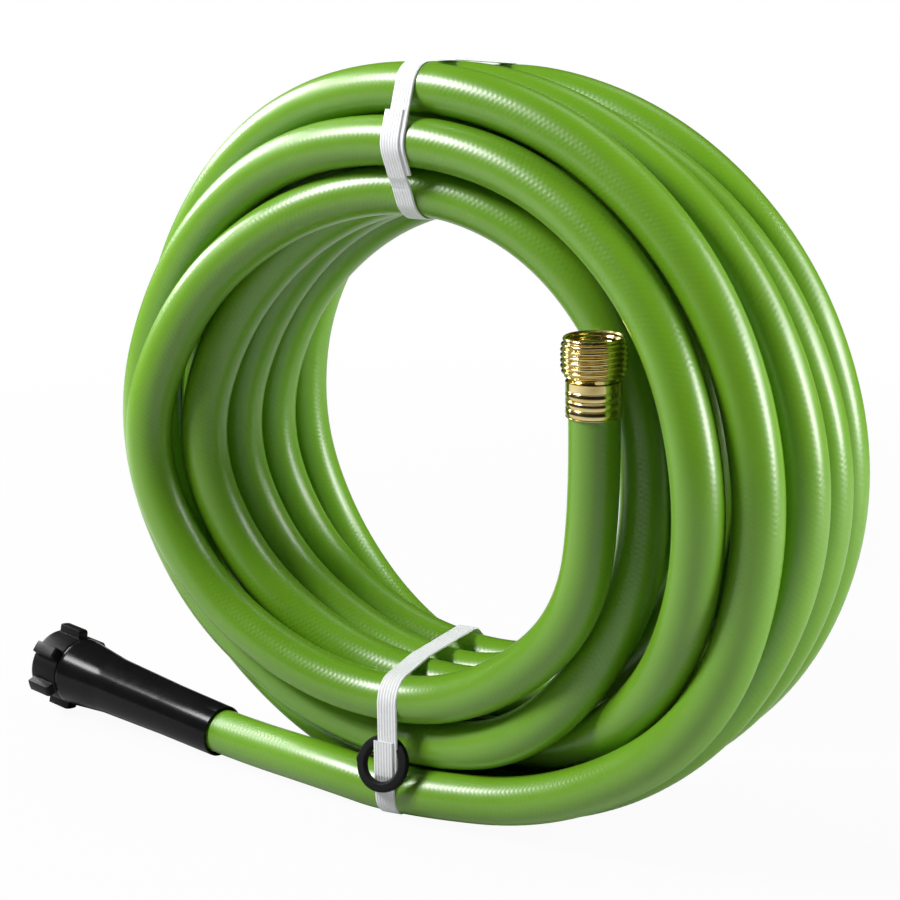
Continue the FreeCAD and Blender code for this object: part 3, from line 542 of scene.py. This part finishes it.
def mottle(tree, shader, place, scale, detail, shades):
    """Lets the colour wander between two near shades, in patches of a given scale."""
    node = tree.nodes.new("ShaderNodeValToRGB")
    for element, position, shade in zip(node.color_ramp.elements, (0.3, 0.7), shades):
        element.position = position
        element.color = (*shade, 1)
    tree.links.new(noise_node(tree, place, scale, detail), node.inputs["Fac"])
    tree.links.new(node.outputs["Color"], shader.inputs["Base Color"])


BRAID_STEP = 0.0024
BRAID_YARNS = 14
BRAID_HEIGHT = 0.00016


def hose_vinyl():
    """Glossy green vinyl; the textile braid under it shows as slanted soft bumps."""
    material, tree, shader = new_material("hose_vinyl")
    along, around = map_place(tree, "hose_map")
    yarns = []
    for sign in (1, -1):
        run = math_node(tree, "MULTIPLY", along, 2 * math.pi / BRAID_STEP)
        lap = math_node(tree, "MULTIPLY", around, sign * 2 * math.pi * BRAID_YARNS)
        yarns.append(math_node(tree, "SINE", math_node(tree, "ADD", run, lap)))
    braid = math_node(tree, "ADD", yarns[0], math_node(tree, "MULTIPLY", yarns[1], 0.8))
    place = object_place(tree)
    depth = range_node(tree, noise_node(tree, place, 170, 3), -0.1, 1.1)
    wander = math_node(tree, "MULTIPLY", noise_node(tree, place, 230, 3), 1.6)
    height = math_node(tree, "ADD", math_node(tree, "MULTIPLY", braid, depth), wander)
    bump_node(tree, shader, height, 0.18, BRAID_HEIGHT)
    mottle(tree, shader, place, 14, 3, ((0.134, 0.325, 0.008), (0.158, 0.362, 0.012)))
    gloss = range_node(tree, noise_node(tree, place, 90, 4), 0.30, 0.42)
    tree.links.new(gloss, shader.inputs["Roughness"])
    shader.inputs["Specular IOR Level"].default_value = 0.65
    shader.inputs["Coat Weight"].default_value = 0.50
    shader.inputs["Coat Roughness"].default_value = 0.30
    return material


def brass(name, roughness):
    """Bright drawn brass with fine turning marks and faint stains."""
    material, tree, shader = new_material(name)
    place = object_place(tree)
    mottle(tree, shader, place, 160, 4, ((0.74, 0.58, 0.22), (0.88, 0.74, 0.36)))
    shader.inputs["Metallic"].default_value = 1.0
    marks = tree.nodes.new("ShaderNodeMapping")
    marks.inputs["Scale"].default_value = (40, 40, 2600)
    tree.links.new(place, marks.inputs["Vector"])
    grain = noise_node(tree, marks.outputs["Vector"], 1.0, 2)
    rough = range_node(tree, grain, roughness * 0.7, roughness * 1.4)
    tree.links.new(rough, shader.inputs["Roughness"])
    bump_node(tree, shader, grain, 0.12, 0.00005)
    return material


def black_plastic(name, shade, low, high, bump):
    """Moulded black plastic with a fine grain and a slightly uneven gloss."""
    material, tree, shader = new_material(name)
    place = object_place(tree)
    dark = (shade * 0.85, shade * 0.85, shade * 0.92)
    light = (shade * 1.15, shade * 1.15, shade * 1.25)
    mottle(tree, shader, place, 60, 3, (dark, light))
    gloss = range_node(tree, noise_node(tree, place, 240, 4), low, high)
    tree.links.new(gloss, shader.inputs["Roughness"])
    bump_node(tree, shader, noise_node(tree, place, 1400, 3), bump, 0.0001)
    shader.inputs["Specular IOR Level"].default_value = 0.16
    return material


WEFT_STEP = 0.0009
WARP_STEP = 0.0007


def woven_tape():
    """White woven strip: lengthwise yarns crossed by a fine weft."""
    material, tree, shader = new_material("woven_tape")
    along, across = map_place(tree, "tape_map")
    place = object_place(tree)
    weft = math_node(tree, "SINE", math_node(tree, "MULTIPLY", along, 2 * math.pi / WEFT_STEP))
    warp = math_node(tree, "SINE", math_node(tree, "MULTIPLY", across, 2 * math.pi / WARP_STEP))
    cloth = math_node(tree, "MULTIPLY", weft, warp)
    fuzz = noise_node(tree, place, 3000, 2)
    bump_node(tree, shader, math_node(tree, "ADD", cloth, fuzz), 0.4, 0.0001)
    mottle(tree, shader, place, 400, 3, ((0.88, 0.89, 0.91), (0.94, 0.95, 0.97)))
    shader.inputs["Roughness"].default_value = 0.6
    shader.inputs["Sheen Weight"].default_value = 0.2
    return material


vinyl = hose_vinyl()
bright_brass = brass("bright_brass", 0.16)
dull_brass = brass("dull_brass", 0.3)
sleeve_black = black_plastic("sleeve_black", 0.006, 0.15, 0.23, 0.04)
nut_black = black_plastic("nut_black", 0.008, 0.38, 0.5, 0.12)
rubber = black_plastic("washer_rubber", 0.008, 0.42, 0.6, 0.3)
tape = woven_tape()


def dress(piece, material):
    piece.data.materials.clear()
    piece.data.materials.append(material)


# The brass male end
THREAD_PITCH = 0.002209
THREAD_DEPTH = 0.00095
THREAD_FOOT = 0.0012
STUB_RADIUS = 0.0135
STUB_LENGTH = 0.0176
STUB_NECK = 0.0106
LIP_ROUND = 0.0013
CUP_RADIUS = 0.0119
CUP_FOOT = 0.0030
CUP_FLOOR = 0.0016
BORE = 0.0070
TAIL_RADIUS = 0.0079
TAIL_LENGTH = 0.0170


def male_end():
    """Threaded cup on a tube: crests wind up the outside, rings stand in the cup."""
    thread_top = STUB_LENGTH - LIP_ROUND
    profile = [
        (BORE, -TAIL_LENGTH),
        (TAIL_RADIUS, -TAIL_LENGTH),
        (TAIL_RADIUS, 0.0),
        (STUB_NECK, 0.0),
    ]
    wall_rows = 84
    for k in range(wall_rows + 1):
        profile.append((STUB_RADIUS, THREAD_FOOT + (thread_top - THREAD_FOOT) * k / wall_rows))
    lip_rows = 6
    for k in range(1, lip_rows + 1):
        angle = math.pi / 2 * k / lip_rows
        out = STUB_RADIUS - 0.0009 - 0.0008 * (1 - math.cos(angle))
        profile.append((out, thread_top + LIP_ROUND * math.sin(angle)))
    rim = STUB_LENGTH - 0.0007
    cup_rows = 45
    for k in range(cup_rows + 1):
        height = rim - (rim - CUP_FOOT) * k / cup_rows
        wave = 0.00040 * math.sin(2 * math.pi * height / THREAD_PITCH)
        profile.append((CUP_RADIUS - 0.0004 + wave, height))
    profile += [(0.0090, CUP_FLOOR), (BORE, CUP_FLOOR), (BORE, -TAIL_LENGTH)]
    piece = turned_piece("male_end", profile, 96)
    # The crests are raised from the plain wall by their place on the helix, and both
    # ends of the thread draw in, so that the wall is a little barrel-shaped.
    for vertex in piece.data.vertices:
        x, y, z = vertex.co
        radius = math.hypot(x, y)
        if radius < STUB_RADIUS - 1e-5:
            continue
        turn = math.atan2(y, x) / (2 * math.pi)
        crest = 0.5 + 0.5 * math.cos(2 * math.pi * (z / THREAD_PITCH - turn))
        crest = min(1.0, crest * 1.25) ** 0.85
        part = (z - THREAD_FOOT) / (thread_top - THREAD_FOOT)
        barrel = 0.0012 * max(0.0, 1 - part / 0.30) ** 1.6
        barrel += 0.0008 * max(0.0, part / 0.30 - 2.333) ** 2
        foot = 0.0010 * max(0.0, 1 - part / 0.06)
        wanted = STUB_RADIUS - barrel - foot - THREAD_DEPTH * (1 - crest)
        scale_across(vertex, wanted / radius)
    shade_smooth(piece, 60)
    return stand_on(piece, shoulder, outlet_way, Vector((1, 0, 0)))


FERRULE_INSIDE = 0.01070
FERRULE_OUTSIDE = 0.01155
FERRULE_REACH = 0.0136
FERRULE_CROWN = 0.00115
RIDGE_PITCH = 0.0036
BEAD_HALF = 0.00042


def crimped_ferrule():
    """A brass shell with three swollen ridges, a fine bead standing in each groove."""
    low = -FERRULE_REACH
    high = FERRULE_CROWN
    profile = [(FERRULE_INSIDE, low), (FERRULE_OUTSIDE - 0.0004, low)]
    rows = 90
    for k in range(rows + 1):
        height = low + 0.0001 + (high - 0.0003 - low) * k / rows
        from_foot = height - low
        out = FERRULE_OUTSIDE
        if from_foot < 3 * RIDGE_PITCH + 0.0005:
            swell = abs(math.sin(math.pi * from_foot / RIDGE_PITCH))
            away = abs((from_foot / RIDGE_PITCH + 0.5) % 1.0 - 0.5) * RIDGE_PITCH
            bead = 0.00048 * max(0.0, 1 - (away / BEAD_HALF) ** 2) ** 0.5
            out = FERRULE_OUTSIDE - 0.00075 * (1 - swell ** 0.6) + bead
        profile.append((out, height))
    profile += [(FERRULE_OUTSIDE - 0.0003, high), (0.0082, high), (0.0082, 0.0003)]
    profile += [(FERRULE_INSIDE, 0.0003), (FERRULE_INSIDE, low)]
    piece = turned_piece("male_ferrule_shell", profile, 72)
    shade_smooth(piece, 50)
    return stand_on(piece, outlet_end, outlet_way, Vector((1, 0, 0)))


male = male_end()
dress(male, bright_brass)
ferrule = crimped_ferrule()
dress(ferrule, bright_brass)

# The black swivel nut
NUT_RADIUS = 0.0169
NUT_LENGTH = 0.0175
NUT_BORE = 0.01365
NUT_FLOOR = 0.0030
NUT_MOUTH_ROUND = 0.0004
NUT_THREAD_FOOT = 0.0090
NUT_THREAD_DEPTH = 0.0009
NECK_HOLE = 0.00928
WINGS = 6
WING_REACH = 0.0210
WING_LENGTH = 0.0155
WING_TURN = 10


def select_faces(piece, wanted):
    """Selects just the faces whose centre and normal are wanted, in edit mode."""
    bpy.ops.object.mode_set(mode="EDIT")
    bpy.ops.mesh.select_mode(type="FACE")
    bpy.ops.mesh.select_all(action="DESELECT")
    cage = bmesh.from_edit_mesh(piece.data)
    for face in cage.faces:
        face.select_set(wanted(face.calc_center_median(), face.normal))
    bmesh.update_edit_mesh(piece.data)


def select_edges(piece, wanted):
    """Selects just the edges whose two ends are wanted, in edit mode."""
    bpy.ops.mesh.select_mode(type="EDGE")
    bpy.ops.mesh.select_all(action="DESELECT")
    cage = bmesh.from_edit_mesh(piece.data)
    for edge in cage.edges:
        edge.select_set(wanted(edge.verts[0].co, edge.verts[1].co))
    bmesh.update_edit_mesh(piece.data)


def draw_out_wing(piece, angle):
    """Draws a block wing out of the nut's wall and rounds its end towards the sleeve;
    the one at the mouth stays sharp."""
    out = Vector((math.cos(angle), math.sin(angle), 0))

    def on_wing(centre, normal):
        side = Vector((centre.x, centre.y, 0))
        near = side.length > NUT_RADIUS - 0.0006 and side.angle(out) < math.radians(9)
        return near and 0.0011 < centre.z < WING_LENGTH and normal.dot(out) > 0.5

    def outer_end(a, b):
        low = max(a.z, b.z) < 0.0013
        outside = min(a.xy.length, b.xy.length) > NUT_RADIUS + 0.0030
        return low and outside and a.xy.normalized().dot(out.xy) > 0.9

    select_faces(piece, on_wing)
    reach = out * (WING_REACH - NUT_RADIUS)
    bpy.ops.mesh.extrude_region_move(TRANSFORM_OT_translate={"value": tuple(reach)})
    select_edges(piece, outer_end)
    bpy.ops.mesh.bevel(offset=0.0018, segments=4, affect="EDGES")
    bpy.ops.object.mode_set(mode="OBJECT")


def swivel_nut():
    """A bored drum; six block wings are drawn out of its wall and rounded, and a
    thread winds down the bore."""
    top = NUT_LENGTH
    thread_top = top - NUT_MOUTH_ROUND
    profile = [
        (NECK_HOLE, 0.0),
        (NUT_RADIUS - 0.0012, 0.0),
        (NUT_RADIUS - 0.0004, 0.0004),
        (NUT_RADIUS, 0.0012),
        (NUT_RADIUS, WING_LENGTH),
        (NUT_RADIUS, top - 0.0007),
        (NUT_RADIUS - 0.0002, top - 0.0002),
        (NUT_RADIUS - 0.0007, top),
        (NUT_BORE + 0.0005, top),
    ]
    rows = 30
    for k in range(rows + 1):
        profile.append((NUT_BORE, thread_top - (thread_top - NUT_THREAD_FOOT) * k / rows))
    profile += [
        (NUT_BORE + 0.0003, NUT_THREAD_FOOT - 0.0003),
        (NUT_BORE + 0.0003, NUT_FLOOR),
        (NECK_HOLE, NUT_FLOOR),
        (NECK_HOLE, 0.0),
    ]
    piece = turned_piece("swivel_nut", profile, 72)
    for wing in range(WINGS):
        draw_out_wing(piece, math.radians(WING_TURN + 60 * wing))
    bevelled(piece, 0.0006, 3, 40)
    for vertex in piece.data.vertices:
        x, y, z = vertex.co
        radius = math.hypot(x, y)
        if abs(radius - NUT_BORE) > 1e-5 or not NUT_THREAD_FOOT < z < top - 0.0003:
            continue
        turn = math.atan2(y, x) / (2 * math.pi)
        phase = (z / THREAD_PITCH - turn) % 1.0
        fade = min(1.0, (thread_top - z) / 0.001, (z - NUT_THREAD_FOOT) / 0.001)
        crest = 0.5 + 0.5 * math.cos(2 * math.pi * phase)
        wanted = NUT_BORE - NUT_THREAD_DEPTH * max(0.0, fade) * crest
        scale_across(vertex, wanted / radius)
    shade_smooth(piece, 32)
    return stand_on(piece, nut_foot, inlet_way, Vector((0, 0, -1)))


nut = swivel_nut()
dress(nut, nut_black)

# The tapered sleeve behind the nut
SLEEVE_MOUTH_RADIUS = 0.0124
SLEEVE_END_RADIUS = 0.0170
SLEEVE_HOLE = 0.0114
SLEEVE_SEAT = 0.0116
SLEEVE_NECK = 0.0095
SLEEVE_CAP = 0.0030


def tapered_sleeve():
    """Long moulded sleeve: a steep shoulder behind the nut, then a slender taper."""
    length = SLEEVE_LENGTH
    # each corner of the outline, with its rounding
    outline = [
        ((SLEEVE_HOLE, 0.0), 0.0003),
        ((SLEEVE_MOUTH_RADIUS, 0.0), 0.0005),
        ((0.0129, length - 0.068), 0.060),
        ((0.0143, length - 0.026), 0.050),
        ((SLEEVE_END_RADIUS, length - 0.0024), 0.0050),
        ((SLEEVE_END_RADIUS, length), 0.0010),
        ((SLEEVE_NECK, length), 0),
        ((SLEEVE_NECK, length - SLEEVE_CAP), 0),
        ((SLEEVE_SEAT, length - SLEEVE_CAP), 0),
        ((SLEEVE_SEAT, length - 0.0290), 0),
        ((SLEEVE_HOLE, length - 0.0290), 0),
    ]
    corners, rounds = zip(*outline)
    piece = turned_piece("tapered_sleeve", rounded_profile(corners, rounds, 8), 72)
    shade_smooth(piece, 40)
    return stand_on(piece, sleeve_mouth, inlet_way, Vector((0, 0, -1)))


sleeve = tapered_sleeve()
dress(sleeve, sleeve_black)

# The woven bands
BAND_WIDTH = 0.0097
BAND_THICK = 0.0006
BAND_INSIDE = HOSE_RADIUS + 0.0003
BAND_SPACING = 0.0008
RIBS = 7
COLUMNS_PER_RIB = 4
RIB_HEIGHT = 0.00014
SEAM_DEPTH = 0.00022
PLY_GAP = 0.00006
MOST_LAP_PLACES = 60
FRONT_FACING = -0.3


def hull(points):
    """Corners of the smallest convex outline round the points, counter-clockwise."""
    ordered = sorted(set(points))
    halves = []
    for run in (ordered, ordered[::-1]):
        half = []
        for p in run:
            while len(half) > 1:
                (ax, ay), (bx, by) = half[-2], half[-1]
                if (bx - ax) * (p[1] - ay) - (by - ay) * (p[0] - ax) > 1e-12:
                    break
                half.pop()
            half.append(p)
        halves.append(half[:-1])
    return halves[0] + halves[1]


class BandPlane:
    """An upright plane that a band lies in, beside the middle of the coil."""

    def __init__(self, aside, yaw):
        angle = math.radians(yaw)
        self.middle = COIL_MIDDLE + Vector((aside, 0, 0))
        self.along = Vector((math.cos(angle), math.sin(angle), 0))
        self.back = Vector((-math.sin(angle), math.cos(angle), 0))

    def flat(self, point):
        away = point - self.middle
        return away.dot(self.along), away.dot(self.back), away.z

    def world(self, back, height, sideways):
        return self.middle + self.along * sideways + self.back * back + Vector((0, 0, height))


def bundle(plane, side, floor=None):
    """Outline of the turns inside a band: side is 1 above the coil's axis, else -1."""
    points = []
    for place in hose_path:
        sideways, back, height = plane.flat(place)
        if abs(sideways) < BAND_WIDTH / 2 + 0.0006 and height * side > 0:
            points.append((round(back, 6), round(height, 6)))
    if floor is not None:
        points = [(back, max(height, floor)) for back, height in points]
    return hull(points)


def taut_outline(corners, radius, spacing):
    """Evenly spaced places, with outward directions, round a taut outline."""
    count = len(corners)
    places = []
    normals = []
    for (ax, ay), (bx, by) in zip(corners, corners[1:] + corners[:1]):
        length = math.hypot(bx - ax, by - ay)
        normals.append(Vector(((by - ay) / length, -(bx - ax) / length)))
    for i in range(count):
        corner = Vector(corners[i])
        before, after = normals[i - 1], normals[i]
        turn = before.angle(after, 0.0)
        parts = max(1, round(turn * radius / spacing))
        for k in range(parts + 1):
            normal = before.slerp(after, k / parts) if turn > 1e-4 else before
            places.append((corner + normal * radius, normal))
        following = Vector(corners[(i + 1) % count])
        run = (following - corner).length
        parts = max(1, round(run / spacing))
        for k in range(1, parts):
            places.append((corner.lerp(following, k / parts) + after * radius, after))
    kept = [places[0]]
    for place in places[1:]:
        if (place[0] - kept[-1][0]).length > spacing * 0.35:
            kept.append(place)
    return kept


def tape_strip(name, plane, places, asides, lifts, seams):
    """A ribbed strip along places of a band plane, with its own map in metres. It may
    drift aside and be lifted on its way; seams are the numbers of pressed-in places."""
    shell = bmesh.new()
    tape_map = shell.loops.layers.uv.new("tape_map")
    columns = RIBS * COLUMNS_PER_RIB
    sections = []
    for i, (spot, normal) in enumerate(places):
        section = []
        pressed = SEAM_DEPTH if i in seams else 0.0
        for outer in (True, False):
            order = range(columns + 1) if outer else range(columns, -1, -1)
            for c in order:
                sideways = BAND_WIDTH * (c / columns - 0.5)
                rib = RIB_HEIGHT * math.cos(2 * math.pi * RIBS * (c / columns))
                edge = min(1.0, min(c, columns - c) / 2)
                thick = BAND_THICK * (0.6 + 0.4 * edge) - rib - pressed if outer else 0.0
                flat = spot + normal * (lifts[i] + thick)
                section.append(shell.verts.new(plane.world(flat.x, flat.y, sideways + asides[i])))
        sections.append(section)
    size = len(sections[0])
    along = [0.0]
    for a, b in zip(sections, sections[1:]):
        along.append(along[-1] + (b[columns // 2].co - a[columns // 2].co).length)
    for i, (section, following) in enumerate(zip(sections, sections[1:])):
        for c in range(size):
            n = (c + 1) % size
            face = shell.faces.new((section[c], following[c], following[n], section[n]))
            face.smooth = True
            corners = ((i, c), (i + 1, c), (i + 1, n), (i, n))
            for loop, (station, column) in zip(face.loops, corners):
                across = column if column <= columns else size - column
                loop[tape_map].uv = (along[station], BAND_WIDTH * across / columns)
    shell.faces.new(sections[0])
    shell.faces.new(sections[-1][::-1])
    piece = finished_shell(shell, name)
    shade_smooth(piece, 60)
    return piece


def at_front(place):
    """Whether a place of a band's outline faces the front of the coil."""
    spot, normal = place
    return normal.x < FRONT_FACING


def seam_places(order, count, heights):
    """The numbers of the front places nearest to the heights, on the outer ply."""
    front = [i for i, place in enumerate(order) if at_front(place)]
    numbers = set()
    for height in heights:
        away = {i: abs(order[i][0].y - height) + 0.001 * (i > count) for i in front}
        numbers.add(min(front, key=away.get))
    return numbers


def lapped_band(name, plane, places, start, end, front_aside, back_aside, seams):
    """A strip once round its bundle whose ends lap at the front: the front ply begins
    at the height start, and the end behind it comes down to the height end."""
    count = len(places)
    below = [i for i in range(count) if at_front(places[i]) and places[i][0].y < start]
    first = min(below, key=lambda i: start - places[i][0].y)
    order = [places[(first + i) % count] for i in range(count)]
    for place in order[:MOST_LAP_PLACES]:
        if place[0].y < end or not at_front(place):
            break
        order.append(place)
    lap = len(order) - count
    asides = []
    lifts = []
    for i in range(len(order)):
        part = i / (len(order) - 1)
        asides.append(front_aside + (back_aside - front_aside) * part)
        lift = min(1.0, max(0.0, (lap + 4 - i) / 4))
        lifts.append((BAND_THICK + PLY_GAP) * lift)
    return tape_strip(name, plane, order, asides, lifts, seam_places(order, count, seams))


top_plane = BandPlane(0.0015, 0)
foot_plane = BandPlane(-0.0122, 8.5)
floor_height = -COIL_MIDDLE.z + BAND_INSIDE + BAND_THICK
top_places = taut_outline(bundle(top_plane, 1), BAND_INSIDE, BAND_SPACING)
foot_places = taut_outline(bundle(foot_plane, -1, floor_height), BAND_INSIDE, BAND_SPACING)
top_band = lapped_band(
    "top_tape",
    top_plane,
    top_places,
    start=0.1553,
    end=0.1276,
    front_aside=-0.0014,
    back_aside=0.0009,
    seams=(0.1578, 0.1225),
)
dress(top_band, tape)
foot_band = lapped_band(
    "foot_tape",
    foot_plane,
    foot_places,
    start=-0.1214,
    end=-0.1372,
    front_aside=-0.0006,
    back_aside=0.0012,
    seams=(),
)
dress(foot_band, tape)

# The spare washer
WASHER_RADIUS = 0.0128
WASHER_HOLE = 0.0080
WASHER_THICK = 0.0032
CHAMFER_ACROSS = 0.0013
CHAMFER_DEEP = 0.0012
PIP_RADIUS = 0.0018
PIP_HEIGHT = 0.0007

washer_middle, washer_axis = joint_place("spare_washer_turn")


def spare_washer():
    """Moulded rubber ring: a chamfered hole, round edges and a moulding pip."""
    half = WASHER_THICK / 2
    # each corner of the outline, with its rounding
    outline = [
        ((WASHER_HOLE, -half + CHAMFER_DEEP), 0.0002),
        ((WASHER_HOLE + CHAMFER_ACROSS, -half), 0.0003),
        ((WASHER_RADIUS, -half), 0.0009),
        ((WASHER_RADIUS, half), 0.0009),
        ((WASHER_HOLE + CHAMFER_ACROSS, half), 0.0003),
        ((WASHER_HOLE, half - CHAMFER_DEEP), 0.0002),
    ]
    corners, rounds = zip(*outline)
    piece = turned_piece("spare_washer_ring", rounded_profile(corners, rounds, 5), 72)
    for vertex in piece.data.vertices:
        x, y, z = vertex.co
        away = (Vector((x, y)) - Vector((-WASHER_RADIUS, 0.0))).length
        if math.hypot(x, y) > WASHER_RADIUS - 0.0012 and away < PIP_RADIUS:
            swell = 1 + PIP_HEIGHT / WASHER_RADIUS * (1 - (away / PIP_RADIUS) ** 2)
            scale_across(vertex, swell)
    shade_smooth(piece, 35)
    return stand_on(piece, washer_middle, washer_axis, Vector((1, 0, 0)))


washer = spare_washer()
dress(washer, rubber)

# Pieces that keep the shape of their solids
nodes = frame["nodes"]
dress(nodes["coupling_washer"], rubber)
dress(nodes["inlet_tailpiece"], dull_brass)
dress(nodes["inlet_ferrule"], dull_brass)
dress(hose, vinyl)

# What each piece rides on and stands for
for piece, body, slot, replaced in (
    (hose, "hose", "hose", ("hose_coil", "inlet_lead", "outlet_lead")),
    (male, "hose", "brass", ("male_stub",)),
    (ferrule, "hose", "brass", ("male_ferrule",)),
    (sleeve, "hose", "sleeve", ("inlet_sleeve",)),
    (nut, "nut", "nut", ("coupling_nut",)),
    (washer, "washer", "washer", ("spare_washer",)),
    (top_band, "hose", "band", ("top_band",)),
    (foot_band, "hose", "band", ("bottom_band",)),
):
    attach(piece, body)
    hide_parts(*replaced)

# Floor, backdrop and light
FLOOR_SHADE = 0.45
WHITE_NEAR = 0.95
WHITE_FAR = 1.0
NEAR_REACH = 0.5
FAR_REACH = 1.2
WORLD_LEVEL = 0.015
LAMP_TARGET = Vector((0.0, 0.0, 0.16))


def stage_white():
    """White for the camera, and a plain pale floor for all other light. The shadow
    shows near the object, and further out the white is full, so no horizon shows."""
    material, tree, shader = new_material("stage_white")
    shader.inputs["Base Color"].default_value = (FLOOR_SHADE, FLOOR_SHADE, FLOOR_SHADE, 1)
    shader.inputs["Roughness"].default_value = 0.9
    glow = tree.nodes.new("ShaderNodeEmission")
    glow.inputs["Color"].default_value = (1, 1, 1, 1)
    glow.inputs["Strength"].default_value = 1.0
    distance = tree.nodes.new("ShaderNodeVectorMath")
    distance.operation = "LENGTH"
    tree.links.new(object_place(tree), distance.inputs[0])
    away = distance.outputs["Value"]
    whiteness = range_node(tree, away, WHITE_NEAR, WHITE_FAR, NEAR_REACH, FAR_REACH)
    rays = tree.nodes.new("ShaderNodeLightPath")
    share = math_node(tree, "MULTIPLY", rays.outputs["Is Camera Ray"], whiteness)
    blend = tree.nodes.new("ShaderNodeMixShader")
    tree.links.new(share, blend.inputs["Fac"])
    tree.links.new(shader.outputs["BSDF"], blend.inputs[1])
    tree.links.new(glow.outputs["Emission"], blend.inputs[2])
    tree.links.new(blend.outputs["Shader"], tree.nodes["Material Output"].inputs["Surface"])
    return material


clear_selection()
bpy.ops.mesh.primitive_plane_add(size=160, location=(0, 0, 0))
floor = bpy.context.active_object
floor.name = "floor"
dress(floor, stage_white())

world = bpy.data.worlds.new("studio")
bpy.context.scene.world = world
world.use_nodes = True
sky = world.node_tree
backdrop = sky.nodes["Background"]
rays = sky.nodes.new("ShaderNodeLightPath").outputs
seen = math_node(sky, "MAXIMUM", rays["Is Camera Ray"], rays["Is Transmission Ray"])
level = range_node(sky, seen, WORLD_LEVEL, 1.0)
backdrop.inputs["Color"].default_value = (1, 1, 1, 1)
sky.links.new(level, backdrop.inputs["Strength"])


def place_lamp(name, azimuth, elevation, distance, width, height, power):
    """A soft panel that looks at the middle of the coil; azimuth 0 is the front."""
    a, e = math.radians(azimuth), math.radians(elevation)
    way = Vector((math.sin(a) * math.cos(e), -math.cos(a) * math.cos(e), math.sin(e)))
    data = bpy.data.lights.new(name, "AREA")
    data.shape = "RECTANGLE"
    data.size = width
    data.size_y = height
    data.energy = power
    lamp = bpy.data.objects.new(name, data)
    bpy.context.scene.collection.objects.link(lamp)
    place = LAMP_TARGET + way * distance
    lamp.location = place
    lamp.rotation_euler = (LAMP_TARGET - place).to_track_quat("-Z", "Y").to_euler()


place_lamp("key", -44, 42, 1.6, 0.52, 0.46, 31)
place_lamp("left_side", -92, 26, 1.5, 0.5, 0.5, 18)
place_lamp("right_rim", 122, 30, 1.5, 0.40, 0.7, 7)
place_lamp("right_edge", 103, 14, 1.5, 0.35, 0.7, 18)
place_lamp("back_top", 175, 58, 1.6, 0.8, 0.5, 1.5)
